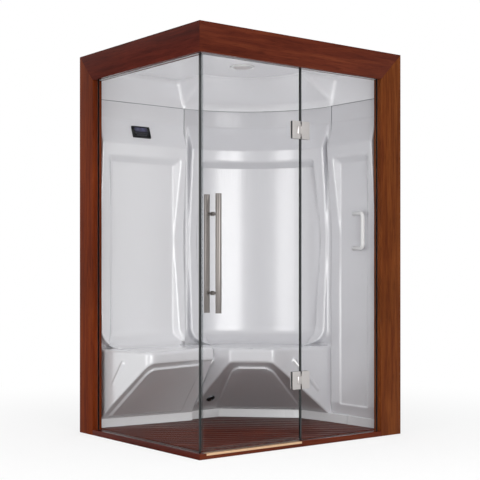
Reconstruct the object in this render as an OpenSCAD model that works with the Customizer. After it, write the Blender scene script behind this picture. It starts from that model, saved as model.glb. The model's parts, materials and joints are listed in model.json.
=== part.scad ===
// Steam sauna cabin: timber frame, glass front and side, moulded seat walls, hinged glass door.
// Drawn from the front left corner of the cabin: x along the front, y back along the left side.

/* [Cabin] */
// Width over the front
cabin_w = 1440; // [1400:10:1600]
// Depth over the left side
cabin_d = 1200; // [1160:10:1400]
// Height over the fascia
cabin_h = 2200; // [2160:10:2300]

/* [Timber frame] */
// Thickness of the fascia boards, posts and sills
timber_t = 60; // [56:1:66]
// Height of the fascia
fascia_h = 155; // [120:5:180]
// Face width of the right post
right_post_w = 158; // [110:2:170]
// Face width of the rear post
rear_post_w = 148; // [110:2:170]
// Height of the sills
sill_h = 29; // [27:1:34]
// Depth of the grooves that hold the fixed panes
groove_d = 12; // [8:1:14]

/* [Glass] */
// Thickness of the panes and the door
glass_t = 8; // [6:1:10]
// Distance from the timber face back to the glass
glass_set = 35; // [33:1:38]
// Distance from the cabin corner to the hinge edge of the door
door_edge_x = 694; // [660:2:720]
// Gap between the door and the fixed pane
door_gap = 7; // [6:0.5:9]
// Height of the door's bottom edge over the sill
door_lift = 11; // [9:1:16]
// Gap over the door
door_top_gap = 4; // [3:0.5:8]
// Thickness of the rubber in the grooves, each side
seal_t = 1.5; // [1:0.25:2]

/* [Hinges] */
// Height of the lower hinge
hinge_low_z = 355; // [300:5:420]
// Distance from the fascia down to the upper hinge
hinge_drop = 337; // [300:1:400]
// Height of a hinge leaf
leaf_h = 96; // [86:1:100]
// Width of a hinge leaf
leaf_w = 55; // [48:1:58]
// Thickness of a leaf plate
leaf_t = 6.5; // [5:0.5:8]
// Thickness of the pads between leaf and glass
pad_t = 1; // [0.5:0.25:2]
// Distance from the door's edge in to the hinge axis
axis_in = 11; // [10.5:0.5:14]
// Radius of the hinge barrel
barrel_r = 13; // [12.5:0.5:14]
// Height of the hinge barrel
barrel_h = 41; // [36:1:44]
// Radius of the hinge pin
pin_r = 4; // [3:0.5:5]

/* [Handle] */
// Distance from the cabin corner to the handle
handle_x = 110; // [90:5:150]
// Height of the handle's middle
handle_z = 1035; // [950:5:1100]
// Length of the handle
handle_len = 606; // [500:2:700]
// Radius of the handle tube
handle_r = 15.5; // [14:0.5:18]
// Distance between the handle's fixings
handle_pitch = 402; // [300:2:450]
// Distance from the glass to the tube's centre
handle_off = 46; // [40:1:60]

/* [Wall mouldings] */
// Sheet thickness of the mouldings
sheet_t = 5; // [4:0.5:6]
// Distance from the cabin's back to the back wall's face
back_gap = 72; // [66:2:90]
// Distance from the cabin's right side to the side wall's face
side_gap = 100; // [90:2:120]
// Radius of the round corner
corner_r = 650; // [630:5:660]
// Distance from the fascia's top down to the wall mouldings
wall_drop = 248; // [220:2:270]
// Depth of the flanges behind the mouldings
flange_d = 38; // [30:1:44]
// Distance from the mouldings' top down to the sloping band
band_drop = 112; // [90:2:130]
// Height of the sloping band
band_h = 140; // [110:5:150]
// How far the pads stand out at the head
head_p = 50; // [42:1:56]
// How far the pads stand out at the waist
waist_p = 11; // [9:1:16]
// Height of the waist
waist_z = 1140; // [1080:10:1200]
// How far the pads stand out above the seat
foot_p = 36; // [28:1:42]
// Height of the bar over a backrest recess
bar_h = 64; // [50:2:80]
// Depth left between the recess floor and the wall face
recess_floor_p = 5; // [3:0.5:7]

/* [Seats] */
// Height of the seats
seat_z = 492; // [470:2:510]
// Height of the seat aprons
apron_h = 74; // [60:2:90]
// Seat depth at the left end of the back seat
seat_left_d = 486; // [440:2:520]
// Seat depth at the right end of the back seat
seat_right_d = 311; // [280:2:340]
// Seat depth of the corner seat, along both walls
corner_seat_d = 470; // [440:2:500]
// Radius between backrest and seat
seat_fillet = 110; // [80:5:130]
// Radius of the seats' front corners
seat_corner_r = 42; // [24:2:50]
// Radius of the seats' upper edges
seat_rim_r = 22; // [10:1:30]
// How far the kick panels stand out
kick_lift = 12; // [6:1:16]

/* [Base] */
// Height of the tray's upstand
tray_h = 80; // [70:2:90]
// Thickness of the tray's floor
tray_floor_t = 10; // [8:1:12]
// Thickness of the duckboard slats
slat_t = 12; // [10:1:14]
// Width of a slat
slat_w = 66; // [40:2:80]
// Gap between slats
slat_gap = 9; // [4:1:12]
// Radius of the drain bore
drain_r = 20; // [16:1:25]

/* [Ceiling] */
// Distance from the fascia's top down to the ceiling
roof_drop = 80; // [60:2:100]
// Radius of the ceiling's round corner at the top
cove_r = 380; // [340:10:440]
// Radius of the lamp
lamp_r = 67; // [50:1:80]

/* [Fittings] */
// Width of the control panel
panel_w = 126; // [120:1:145]
// Height of the control panel
panel_h = 74; // [70:1:90]
// Distance from the cabin corner to the panel's middle
panel_x = 363; // [300:1:420]
// Radius of the steam outlet
outlet_r = 27.5; // [24:0.5:32]
// Radius of the grab handle's bar
grab_r = 12; // [11:0.5:14]
// Length of the grab handle's bar, between bends
grab_len = 150; // [120:5:200]
// Side of the square steel tube behind the walls
tube_s = 30; // [25:1:32]
// Wall of the square steel tube
tube_wall = 2; // [1.5:0.25:3]

/* [Hidden] */
$fn = 48;

// Clearances
seat_gap = 0.3;
run_gap = 0.05;
press_gap = 0.02;
leaf_gap = 10;
over = 20;

// Lines that the parts share
fascia_z = cabin_h - fascia_h;
wall_h = cabin_h - wall_drop;
band_top_z = wall_h - band_drop;
band_low_z = band_top_z - band_h;
hinge_high_z = fascia_z - hinge_drop;
post_x = cabin_w - right_post_w;
post_y = cabin_d - rear_post_w;
glass_y = glass_set;
glass_back_y = glass_set + glass_t;
glass_mid = glass_set + glass_t / 2;
pane_low_z = sill_h - groove_d + seal_t;
pane_high_z = fascia_z + groove_d - seal_t;
pane_x = door_edge_x + door_gap;
door_x = 44;
door_low_z = sill_h + door_lift;
door_high_z = fascia_z - door_top_gap;
axis_x = door_edge_x - axis_in;
hinge_zs = [hinge_high_z, hinge_low_z];
wall_x = cabin_w - side_gap;
wall_y = cabin_d - back_gap;
centre_x = wall_x - corner_r;
centre_y = wall_y - corner_r;
seam_in = 6;
seam_x = centre_x + seam_in;
seam_y = centre_y + seam_in;
seam_half = 0.5;
frame_in = timber_t + seat_gap;
roof_z = cabin_h - roof_drop;
apron_z = seat_z - apron_h;
recess_top_z = band_low_z - bar_h;
kick_half = 150;
heel_foot = 57;
slat_top_z = sill_h + 1;

// Unit normal on the right of the way from a to b
function edge_normal(a, b) = [b[1] - a[1], a[0] - b[0]] / norm(b - a);

// Outline moved outwards by g, points anticlockwise
function grown(pts, g) = [
    for (i = [0 : len(pts) - 1])
        let (a = pts[(i + len(pts) - 1) % len(pts)], b = pts[i], c = pts[(i + 1) % len(pts)])
        let (m = edge_normal(a, b), n = edge_normal(b, c))
        b + g * (m + n) / (1 + m * n)
];

// Points of an arc from angle a0 to a1
function arc(c, r, a0, a1, n) = [
    for (i = [0 : n]) let (a = a0 + (a1 - a0) * i / n) c + r * [cos(a), sin(a)]
];

// Points in the other order
function flipped(pts) = [for (i = [len(pts) - 1 : -1 : 0]) pts[i]];

// Round corner of radius r at b, between a and c
function rounded(a, b, c, r, n = 5) =
    let (u = (a - b) / norm(a - b), v = (c - b) / norm(c - b))
    let (half = acos(u * v) / 2, mid = b + (u + v) / norm(u + v) * r / sin(half))
    let (p = b + u * r / tan(half) - mid, q = b + v * r / tan(half) - mid)
    let (a0 = atan2(p[1], p[0]), turn = atan2(p[0] * q[1] - p[1] * q[0], p * q))
    arc(mid, r, a0, a0 + turn, n);

// Solid with the given corners
module corners(pts) {
    hull() polyhedron(points = pts, faces = [[for (i = [0 : len(pts) - 1]) i]]);
}

// Solid between matching outlines; each outline's last point sees all the others
module skin(rows) {
    n = len(rows[0]);
    last = (len(rows) - 1) * n;
    polyhedron(
        points = [for (r = rows) each r],
        faces = concat(
            [for (i = [0 : n - 3]) [i + 1, i, n - 1]],
            [
                for (r = [0 : len(rows) - 2]) for (i = [0 : n - 1])
                    let (a = r * n + i, b = r * n + (i + 1) % n)
                    each [[a, b + n, a + n], [a, b, b + n]]
            ],
            [for (i = [0 : n - 3]) [last + i, last + i + 1, last + n - 1]]
        )
    );
}

// Outline in distance from the back wall and height, drawn along x
module along_back(x0, x1, pts) {
    translate([x0, wall_y, 0])
        rotate([90, 0, 90])
            linear_extrude(x1 - x0)
                polygon([for (q = pts) [-q[0], q[1]]]);
}

// Outline in distance from the side wall and height, drawn along y
module along_side(y0, y1, pts) {
    translate([wall_x, y1, 0])
        rotate([90, 0, 0])
            linear_extrude(y1 - y0)
                polygon([for (q = pts) [-q[0], q[1]]]);
}

// Box between two corners
module block(a, b) {
    translate(a) cube(b - a);
}

// Plate with round corners, in x and y
module rounded_plate(w, h, t, r) {
    linear_extrude(t)
        polygon(concat(
            arc([w / 2 - r, h / 2 - r], r, 0, 90, 6),
            arc([-w / 2 + r, h / 2 - r], r, 90, 180, 6),
            arc([-w / 2 + r, -h / 2 + r], r, 180, 270, 6),
            arc([w / 2 - r, -h / 2 + r], r, 270, 360, 6)
        ));
}

// Timber frame

module front_fascia() {
    color("saddlebrown")
        difference() {
            translate([0, timber_t, 0])
                rotate([90, 0, 0])
                    linear_extrude(timber_t)
                        polygon([
                            [0, fascia_z], [post_x, fascia_z],
                            [cabin_w, cabin_h], [0, cabin_h]
                        ]);
            mitre_cut(1);
            groove_front(fascia_z - over, fascia_z + groove_d);
        }
}

module left_fascia() {
    color("saddlebrown")
        difference() {
            rotate([90, 0, 90])
                linear_extrude(timber_t)
                    polygon([
                        [0, fascia_z], [post_y, fascia_z],
                        [cabin_d, cabin_h], [0, cabin_h]
                    ]);
            mitre_cut(0);
            groove_left(fascia_z - over, fascia_z + groove_d);
        }
}

// Takes away one side of the upright mitre at the front left corner
module mitre_cut(left) {
    far = timber_t + over;
    translate([0, 0, -over])
        linear_extrude(cabin_h + 2 * over)
            polygon(left == 1 ? [[-over, -over], [far, far], [-over, far]]
                              : [[-over, -over], [far, -over], [far, far]]);
}

// Groove for the fixed front pane
module groove_front(z0, z1) {
    block([pane_x, glass_y - seal_t, z0], [post_x + groove_d, glass_back_y + seal_t, z1]);
}

// Groove for the left pane
module groove_left(z0, z1) {
    block([glass_set - seal_t, glass_y + seal_t, z0], [glass_back_y + seal_t, post_y + groove_d, z1]);
}

module right_post() {
    color("saddlebrown")
        difference() {
            translate([0, timber_t, 0])
                rotate([90, 0, 0])
                    linear_extrude(timber_t)
                        polygon([
                            [post_x, 0], [cabin_w, 0],
                            [cabin_w, cabin_h], [post_x, fascia_z]
                        ]);
            groove_front(sill_h - groove_d, fascia_z + groove_d);
        }
}

module rear_post() {
    color("saddlebrown")
        difference() {
            rotate([90, 0, 90])
                linear_extrude(timber_t)
                    polygon([
                        [post_y, 0], [cabin_d, 0],
                        [cabin_d, cabin_h], [post_y, fascia_z]
                    ]);
            groove_left(sill_h - groove_d, fascia_z + groove_d);
        }
}

module front_sill() {
    color("saddlebrown")
        difference() {
            cube([post_x, timber_t, sill_h]);
            mitre_cut(1);
            groove_front(sill_h - groove_d, sill_h + over);
            strip_seat();
        }
}

module left_sill() {
    color("saddlebrown")
        difference() {
            cube([timber_t, post_y, sill_h]);
            mitre_cut(0);
            groove_left(sill_h - groove_d, sill_h + over);
        }
}

// Angle strip let into the sill's front edge under the door
strip_x = [44, door_edge_x - 15];
strip_t = 2;
strip_drop = 11;

module strip_seat() {
    difference() {
        block([strip_x[0], -over, sill_h - strip_drop], [strip_x[1], glass_y - 3, sill_h + over]);
        block([strip_x[0] - 1, strip_t, 0], [strip_x[1] + 1, glass_y, sill_h - strip_t]);
    }
}

module threshold_strip() {
    color("tan")
        difference() {
            block([strip_x[0], 0, sill_h - strip_drop], [strip_x[1], glass_y - 3, sill_h]);
            block([strip_x[0] - 1, strip_t, 0], [strip_x[1] + 1, glass_y, sill_h - strip_t]);
        }
}

// Base

// Room side of the tray's upstand, anticlockwise
tray_room = [
    [frame_in + sheet_t, frame_in + sheet_t],
    [wall_x - 6, frame_in + sheet_t],
    [wall_x - 24, seam_y - 8],
    [wall_x - 57, centre_y + 232],
    [centre_x + 232, wall_y - 57],
    [seam_x + 4, wall_y - 57],
    [seam_x - 4, wall_y - 91],
    [frame_in + sheet_t, wall_y - 23]
];
tray_out_x = wall_x + flange_d;
tray_out_y = wall_y + flange_d;
rim_low_h = sill_h - 3;
drain_x = centre_x - 60;
drain_y = 420;

module floor_tray() {
    color("whitesmoke")
        difference() {
            union() {
                linear_extrude(tray_h) polygon(grown(tray_room, sheet_t));
                block([frame_in, wall_y - 40, 0], [tray_out_x, tray_out_y, tray_h]);
                block([wall_x - 40, frame_in, 0], [tray_out_x, tray_out_y, tray_h]);
                linear_extrude(tray_h)
                    polygon([
                        [centre_x + 200, wall_y - 20], [wall_x - 20, centre_y + 200],
                        [wall_x, wall_y]
                    ]);
            }
            translate([0, 0, tray_floor_t]) linear_extrude(tray_h) polygon(tray_room);
            tray_hollow();
            block([-over, -over, rim_low_h], [wall_x - 30, frame_in + sheet_t + 1, tray_h + over]);
            block([-over, -over, rim_low_h], [frame_in + sheet_t + 1, wall_y - 60, tray_h + over]);
            translate([drain_x, drain_y, -over]) cylinder(r = drain_r + 6, h = 3 * over);
        }
}

// Open space under the tray's flange
module tray_hollow() {
    difference() {
        block([-over, -over, -over], [tray_out_x - sheet_t, tray_out_y - sheet_t, tray_h - sheet_t]);
        translate([0, 0, -2 * over])
            linear_extrude(tray_h + 2 * over) polygon(grown(tray_room, sheet_t));
    }
}

module drain_body() {
    color("silver")
        translate([drain_x, drain_y, 0])
            difference() {
                union() {
                    cylinder(r = drain_r + 6 - run_gap, h = tray_floor_t + 1);
                    translate([0, 0, tray_floor_t]) cylinder(r = drain_r + 22, h = 2);
                }
                translate([0, 0, -1]) cylinder(r = drain_r, h = tray_floor_t + 5);
            }
}

module drain_grate() {
    color("silver")
        translate([drain_x, drain_y, tray_floor_t + 2])
            difference() {
                cylinder(r = drain_r + 14, h = 2);
                for (i = [0 : 7])
                    rotate([0, 0, 45 * i])
                        translate([drain_r * 0.62, 0, -1]) cylinder(r = 4, h = 4);
                translate([0, 0, -1]) cylinder(r = 4, h = 4);
            }
}

// Duckboard: slats across the cabin's diagonal, on battens
slat_pitch = slat_w + slat_gap;
slat_room = grown(tray_room, -6);
slat_first = 100;
slat_span = (cabin_w + cabin_d) / sqrt(2);

// The battens' places along their own normal, from the drain
batten_w = 30;
drain_v = (drain_y - drain_x) / sqrt(2);
batten_vs = [for (d = [-551, -331, -101, 133, 389, 629]) drain_v + d];

module duckboard_slats() {
    color("sienna")
        intersection() {
            translate([0, 0, slat_top_z - slat_t]) linear_extrude(slat_t) polygon(slat_room);
            for (u = [slat_first : slat_pitch : slat_span])
                rotate([0, 0, 45])
                    translate([u, -cabin_w, 0]) cube([slat_w, 2 * cabin_w, cabin_h]);
        }
}

module duckboard_battens() {
    color("sienna")
        intersection() {
            translate([0, 0, tray_floor_t])
                linear_extrude(slat_top_z - slat_t - tray_floor_t) polygon(grown(slat_room, -12));
            for (v = batten_vs)
                rotate([0, 0, 45])
                    translate([-over, v, 0]) cube([slat_span, batten_w, cabin_h]);
        }
}

// Wall mouldings

// The pads' foot fillets end this much below the seats' tops
pad_dip = 0.5;

// Pad outline above a seat: distance out from the wall, height
function seat_pad(back) = concat(
    [[-back, seat_z - 40], [foot_p + seat_fillet, seat_z - 40]],
    arc([foot_p + seat_fillet, seat_z + seat_fillet - pad_dip], seat_fillet, 270, 180, 8),
    [[waist_p + 5, waist_z - 120], [waist_p, waist_z], [waist_p + 6, waist_z + 110]],
    [[head_p, band_low_z], [0, band_top_z], [-back, band_top_z]]
);

// Corners of a seat with a rounded rim, inset by e
function seat_points(plan, low, e) = concat(
    [for (q = grown(plan, -e)) [q[0], q[1], low]],
    [
        for (a = [0 : 30 : 90])
            for (q = grown(plan, -e - seat_rim_r * (1 - cos(a))))
                [q[0], q[1], seat_z - e - seat_rim_r * (1 - sin(a))]
    ]
);

// Corners of a raised panel on a flat face with the given rim, inset by e
function raised_points(rim, e) =
    let (n = cross(rim[1] - rim[0], rim[2] - rim[0]), out = n / norm(n))
    let (mid = (rim[0] + rim[1] + rim[2] + rim[3]) / 4)
    concat(
        [for (q = rim) q + (mid - q) * e / kick_half - out * (kick_lift + e)],
        [for (q = rim) q + (mid - q) * e / kick_half - out * e],
        [for (q = rim) q + (mid - q) * (kick_lift + e) / kick_half + out * (kick_lift - e)]
    );

// Recess outline: sloping top, floor and round foot
recess_line = concat(
    [[200, recess_top_z + 150], [head_p, recess_top_z]],
    [[recess_floor_p, recess_top_z - head_p + recess_floor_p]],
    arc([recess_floor_p + seat_fillet, seat_z + seat_fillet], seat_fillet, 180, 270, 8),
    [[200, seat_z]]
);

// Back wall with the long seat

back_x0 = frame_in;
back_x1 = seam_x - seam_half;
back_pad_x = [84, seam_x - 10];
back_recess_x = [124, seam_x - 48];
recess_slope = 44;
seat_side_x = 122;
back_seat_y = wall_y - foot_p - seat_fillet - 4;

back_seat = concat(
    [[back_x1, wall_y - seat_right_d]],
    [[back_x1, wall_y + flange_d + over]],
    [[back_pad_x[0], wall_y + flange_d + over]],
    [[back_pad_x[0], back_seat_y]],
    flipped(rounded([back_x1, wall_y - seat_right_d], [seat_side_x, wall_y - seat_left_d],
        [back_pad_x[0], back_seat_y], seat_corner_r))
);

// Slope under the seat: front edge and foot at its left and right ends
heel_z = tray_h - 1;
back_heel_front = [
    [seat_side_x - 2, wall_y - seat_left_d - 3, apron_z + 14],
    [back_x1 + 3, wall_y - seat_right_d - 3, apron_z - 4]
];
back_heel_foot = [[74, wall_y - 22, heel_z], [back_x1 + 3, wall_y - 91, heel_z]];
slope_out = [0.1, -0.7, -0.7];

// Where along the slope the kick panel starts and ends, and how far it stands out
kick_ks = [0, 0.06, 0.09, 0.36, 0.63, 0.92, 0.95, 1];
kick_rise = [0, 0, 1, 1, 1, 1, 0, 0];

// Outline under the slope, from front edge f to foot b, with the kick panel out by rise
function heel_row(f, b, rise) = [
    f, f + (b - f) * 0.09, f + (b - f) * 0.12 + slope_out * rise,
    f + (b - f) * 0.94 + slope_out * rise, f + (b - f) * 0.97, b,
    [f[0], f[1] - 60, heel_z]
];

function back_heel(e) = concat(
    [heel_row([seat_side_x - 11 - e, wall_y - seat_left_d + 61, apron_z + 14 + 1.3 * e],
        [58 - e, wall_y - 22 + 1.3 * e, heel_z], 0)],
    [
        for (i = [0 : len(kick_ks) - 1])
            let (k = kick_ks[i])
            heel_row(
                back_heel_front[0] * (1 - k) + back_heel_front[1] * k + [0, 0, 1.3 * e],
                back_heel_foot[0] * (1 - k) + back_heel_foot[1] * k + [0, 1.3 * e, 0],
                kick_lift * kick_rise[i])
    ]
);

module back_form(e) {
    back = flange_d + (e > 0 ? over : 0);
    low = tray_h - (e > 0 ? over : 0);
    difference() {
        union() {
            block([back_x0 + e, wall_y + e, low], [back_x1 - e, wall_y + back, wall_h - e]);
            along_back(back_pad_x[0] + e, back_pad_x[1] - e, grown(seat_pad(back), -e));
            intersection() {
                corners(seat_points(back_seat, low, e));
                block([0, 0, 0], [cabin_w, wall_y + back, cabin_h]);
            }
        }
        intersection() {
            along_back(0, seam_x, grown(recess_line, e));
            translate([0, 0, 0])
                linear_extrude(cabin_h)
                    polygon(grown([
                        [back_recess_x[0] + recess_slope, wall_y - recess_floor_p],
                        [back_recess_x[0], wall_y - head_p],
                        [back_recess_x[0], wall_y - 400],
                        [back_recess_x[1], wall_y - 400],
                        [back_recess_x[1], wall_y - head_p],
                        [back_recess_x[1] - recess_slope, wall_y - recess_floor_p]
                    ], e));
        }
        skin(back_heel(e));
    }
}

module back_wall() {
    color("gainsboro")
        difference() {
            back_form(0);
            back_form(sheet_t);
            panel_place()
                translate([0, 0, -30])
                    linear_extrude(60) square([panel_w - 16, panel_h - 16], center = true);
        }
}

// Corner wall with the corner seat

corner_pad_in = 28;

corner_seat = concat(
    [[seam_x + seam_half, wall_y + flange_d + over]],
    flipped(rounded([wall_x - corner_seat_d, seam_y + seam_half],
        [seam_x + seam_half, wall_y - corner_seat_d],
        [seam_x + seam_half, wall_y], seat_corner_r * 0.6)),
    flipped(rounded([wall_x, seam_y + seam_half],
        [wall_x - corner_seat_d, seam_y + seam_half],
        [seam_x + seam_half, wall_y - corner_seat_d], seat_corner_r * 0.6)),
    [[wall_x + flange_d + over, seam_y + seam_half]],
    [[wall_x + flange_d + over, wall_y + flange_d + over]]
);

corner_front = [
    [seam_x - 2, wall_y - corner_seat_d - 2, apron_z + 1],
    [wall_x - corner_seat_d - 2, seam_y - 2, apron_z + 1]
];
corner_foot = [
    [centre_x + 232, wall_y - heel_foot, heel_z], [wall_x - heel_foot, centre_y + 232, heel_z]
];

function corner_heel(e) = [
    corner_front[0] + [0, 0, 1.3 * e], corner_front[1] + [0, 0, 1.3 * e],
    corner_foot[0] + [e, e, 0], corner_foot[1] + [e, e, 0],
    [seam_x - 3, wall_y - heel_foot + e, heel_z],
    [wall_x - 24 + e, seam_y - 3, heel_z],
    [seam_x - 3, seam_y - 3, heel_z]
];

// Point on the corner's slope: k along from the left, h up from the foot
function on_slope(k, h) =
    let (a = corner_foot[0] * (1 - h) + corner_front[0] * h)
    let (b = corner_foot[1] * (1 - h) + corner_front[1] * h)
    a * (1 - k) + b * k;

corner_rim = [
    on_slope(0.01, 0.03), on_slope(0.99, 0.03), on_slope(0.86, 0.91), on_slope(0.14, 0.91)
];

// Round solid from an outline in radius and height, over the corner's quarter
module round_corner(pts) {
    translate([centre_x, centre_y, 0])
        rotate([0, 0, -2]) rotate_extrude(angle = 94, $fn = 96) polygon(pts);
}

module corner_form(e) {
    back = flange_d + (e > 0 ? over : 0);
    low = tray_h - (e > 0 ? over : 0);
    x0 = seam_x + seam_half + e;
    y0 = seam_y + seam_half + e;
    pad_outline = grown(seat_pad(back), -e);
    difference() {
        intersection() {
            union() {
                difference() {
                    block([x0, y0, low], [wall_x + back, wall_y + back, wall_h - e]);
                    translate([centre_x, centre_y, 0])
                        cylinder(r = corner_r + e, h = cabin_h, $fn = 96);
                }
                intersection() {
                    round_corner([for (q = pad_outline) [corner_r - q[0], q[1]]]);
                    block([seam_x + corner_pad_in + e, seam_y + corner_pad_in + e, 0],
                        [cabin_w, cabin_d, cabin_h]);
                }
                corners(seat_points(corner_seat, low, e));
            }
            translate([centre_x, centre_y, 0]) cylinder(r = corner_r + back, h = cabin_h, $fn = 96);
        }
        intersection() {
            round_corner([for (q = grown(recess_line, e)) [corner_r - q[0], q[1]]]);
            translate([centre_x, centre_y, 0])
                linear_extrude(cabin_h)
                    polygon(grown([
                        [0, 0],
                        (corner_r - 200) * [cos(6), sin(6)],
                        (corner_r - head_p) * [cos(8), sin(8)],
                        (corner_r - recess_floor_p) * [cos(12), sin(12)],
                        (corner_r + over) * [cos(14), sin(14)],
                        2 * corner_r * [cos(14), sin(14)],
                        2 * corner_r * [cos(76), sin(76)],
                        (corner_r + over) * [cos(76), sin(76)],
                        (corner_r - recess_floor_p) * [cos(78), sin(78)],
                        (corner_r - head_p) * [cos(82), sin(82)],
                        (corner_r - 200) * [cos(84), sin(84)]
                    ], e));
        }
        difference() {
            corners(corner_heel(e));
            corners(raised_points(corner_rim, e));
        }
    }
}

module corner_wall() {
    color("gainsboro")
        difference() {
            corner_form(0);
            corner_form(sheet_t);
            outlet_place() translate([0, 0, -40]) cylinder(r = pipe_r + 2, h = 80);
        }
}

// Side wall without a seat

side_y0 = frame_in;
side_y1 = seam_y - seam_half;
side_pad_y = [92, seam_y - 10];
side_recess_y = [120, seam_y - 54];
side_foot_z = 150;
side_foot_p = 14;

function side_pad(back) = [
    [-back, tray_h + 4], [1, tray_h + 4], [side_foot_p, side_foot_z],
    [waist_p + 4, waist_z - 300], [waist_p, waist_z], [waist_p + 6, waist_z + 110],
    [head_p, band_low_z], [0, band_top_z], [-back, band_top_z]
];

function side_recess(e) = grown([
    [200, side_foot_z - 4], [recess_floor_p, side_foot_z - 4],
    [recess_floor_p, recess_top_z - head_p + recess_floor_p],
    [head_p, recess_top_z], [200, recess_top_z + 150]
], -e);

module side_form(e) {
    back = flange_d + (e > 0 ? over : 0);
    low = tray_h - (e > 0 ? over : 0);
    difference() {
        union() {
            block([wall_x + e, side_y0 + e, low], [wall_x + back, side_y1 - e, wall_h - e]);
            along_side(side_pad_y[0] + e, side_pad_y[1] - e, grown(side_pad(back), -e));
        }
        intersection() {
            along_side(0, seam_y, side_recess(e));
            linear_extrude(cabin_h)
                polygon(grown([
                    [wall_x - head_p, side_recess_y[0]],
                    [wall_x - recess_floor_p, side_recess_y[0] + recess_slope],
                    [wall_x - recess_floor_p, side_recess_y[1] - recess_slope],
                    [wall_x - head_p, side_recess_y[1]],
                    [wall_x - 400, side_recess_y[1]],
                    [wall_x - 400, side_recess_y[0]]
                ], e));
        }
    }
}

module side_wall() {
    color("gainsboro")
        difference() {
            side_form(0);
            side_form(sheet_t);
            for (z = grab_zs)
                translate([wall_x - over, grab_foot_y, z])
                    rotate([0, 90, 0]) cylinder(r = grab_bolt_r + 0.5, h = 3 * over);
        }
}

// Ceiling

cover_gap = 2;
cover_z0 = wall_h + cover_gap;
cover_rim = 30;
cove_lip_z = cover_z0 + 21;
cove_lean = 0.25;

// Room side of the ceiling's round corner, cut back by e, with its two leaning ends
module cove_form(e) {
    low = cover_z0 - (e > 0 ? over : 0);
    top = roof_z + (e > 0 ? over : sheet_t);
    far_r = corner_r * sqrt(2) + over;
    intersection() {
        translate([centre_x, centre_y, 0])
            rotate([0, 0, -12])
                rotate_extrude(angle = 114, $fn = 96)
                    polygon([
                        [corner_r + e, low], [far_r, low], [far_r, top],
                        [cove_r + e, top], [cove_r + e, roof_z], [corner_r + e, cove_lip_z]
                    ]);
        translate([0, cabin_d, 0])
            rotate([90, 0, 0]) linear_extrude(cabin_d) leaning(seam_x + e, wall_x + sheet_t, low, top);
        rotate([90, 0, 90]) linear_extrude(cabin_w) leaning(seam_y + e, wall_y + sheet_t, low, top);
    }
}

// Outline between a leaning plane that starts at x0 and an upright one at x1
module leaning(x0, x1, low, top) {
    polygon([
        [x0, low], [x1, low], [x1, top],
        [x0 - cove_lean * (roof_z - cover_z0), top],
        [x0 - cove_lean * (roof_z - cover_z0), roof_z], [x0, cover_z0]
    ]);
}

module ceiling_cover() {
    x0 = frame_in;
    y0 = frame_in;
    color("gainsboro")
        difference() {
            union() {
                difference() {
                    block([x0, y0, cover_z0], [wall_x + sheet_t, wall_y + sheet_t, roof_z + cover_rim]);
                    block([-over, -over, 0], [wall_x, wall_y, roof_z]);
                    block([x0 + sheet_t, y0 + sheet_t, roof_z + sheet_t],
                        [wall_x, wall_y, cabin_h]);
                    cove_form(sheet_t);
                }
                difference() {
                    cove_form(0);
                    cove_form(sheet_t);
                }
            }
            translate([lamp_x, lamp_y, roof_z - 1]) cylinder(r = lamp_r - 12, h = over);
        }
}

module ceiling_seal() {
    color("dimgray")
        translate([0, 0, wall_h])
            linear_extrude(cover_gap)
                union() {
                    translate([frame_in + 1, wall_y + 1.5]) square([centre_x - frame_in, 20]);
                    translate([wall_x + 1.5, frame_in + 1]) square([20, centre_y - frame_in]);
                    intersection() {
                        difference() {
                            translate([centre_x, centre_y]) circle(r = corner_r + 21.5, $fn = 96);
                            translate([centre_x, centre_y]) circle(r = corner_r + 1.5, $fn = 96);
                        }
                        translate([centre_x, centre_y]) square([corner_r + 30, corner_r + 30]);
                    }
                }
}

module module_seals() {
    color("dimgray") {
        block([seam_x - seam_half, wall_y + 2, tray_h], [seam_x + seam_half, wall_y + flange_d - 4, wall_h]);
        block([wall_x + 2, seam_y - seam_half, tray_h], [wall_x + flange_d - 4, seam_y + seam_half, wall_h]);
    }
}

roof_batten_w = 60;
roof_batten_t = 18;
roof_batten_xs = [260, cabin_w - 480];
roof_batten_y = centre_y + 162;

module roof_battens() {
    color("burlywood")
        for (x = roof_batten_xs)
            block([x, frame_in + sheet_t, roof_z + sheet_t],
                [x + roof_batten_w, roof_batten_y, roof_z + sheet_t + roof_batten_t]);
}

lamp_x = centre_x - 23;
lamp_y = centre_y + 30;

module lamp_ring() {
    color("silver")
        translate([lamp_x, lamp_y, 0])
            difference() {
                union() {
                    translate([0, 0, roof_z - 8]) cylinder(r = lamp_r, h = 8);
                    translate([0, 0, roof_z - 0.5]) cylinder(r = lamp_r - 12 - run_gap, h = 20);
                }
                translate([0, 0, roof_z - 9]) cylinder(r = lamp_r - 16, h = 24);
            }
}

module lamp_lens() {
    color("mistyrose")
        translate([lamp_x, lamp_y, roof_z - 18])
            intersection() {
                rotate_extrude()
                    polygon(concat([[0, 0]], [
                        for (a = [10 : 20 : 90]) [(lamp_r - 16 - seat_gap) * sin(a), 16 - 16 * cos(a)]
                    ], [[lamp_r - 16 - seat_gap, 24], [0, 24]]));
                cylinder(r = lamp_r, h = 30);
            }
}

// Screws in the cover's rim: the first one's distance from the corner, the last one's from the far end
cover_screw_in = 150;
cover_screw_xs = [for (k = [0 : 3]) cover_screw_in + k * (cabin_w - cover_screw_in - 240) / 3];
cover_screw_ys = [for (k = [0 : 2]) cover_screw_in + k * (cabin_d - cover_screw_in - 350) / 2];

module cover_screws() {
    z = roof_z + sheet_t + 12;
    color("silver") {
        for (x = cover_screw_xs)
            translate([x, frame_in + sheet_t, z]) rotate([90, 0, 0]) cover_screw();
        for (y = cover_screw_ys)
            translate([frame_in + sheet_t, y, z]) rotate([0, -90, 0]) cover_screw();
    }
}

// Pan head on the cover's rim, shank let into the timber
module cover_screw() {
    translate([0, 0, -3]) cylinder(r = 5, h = 3);
}

// Steel frame behind the walls

rail_x = wall_x + flange_d;
rail_y = wall_y + flange_d;

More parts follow.
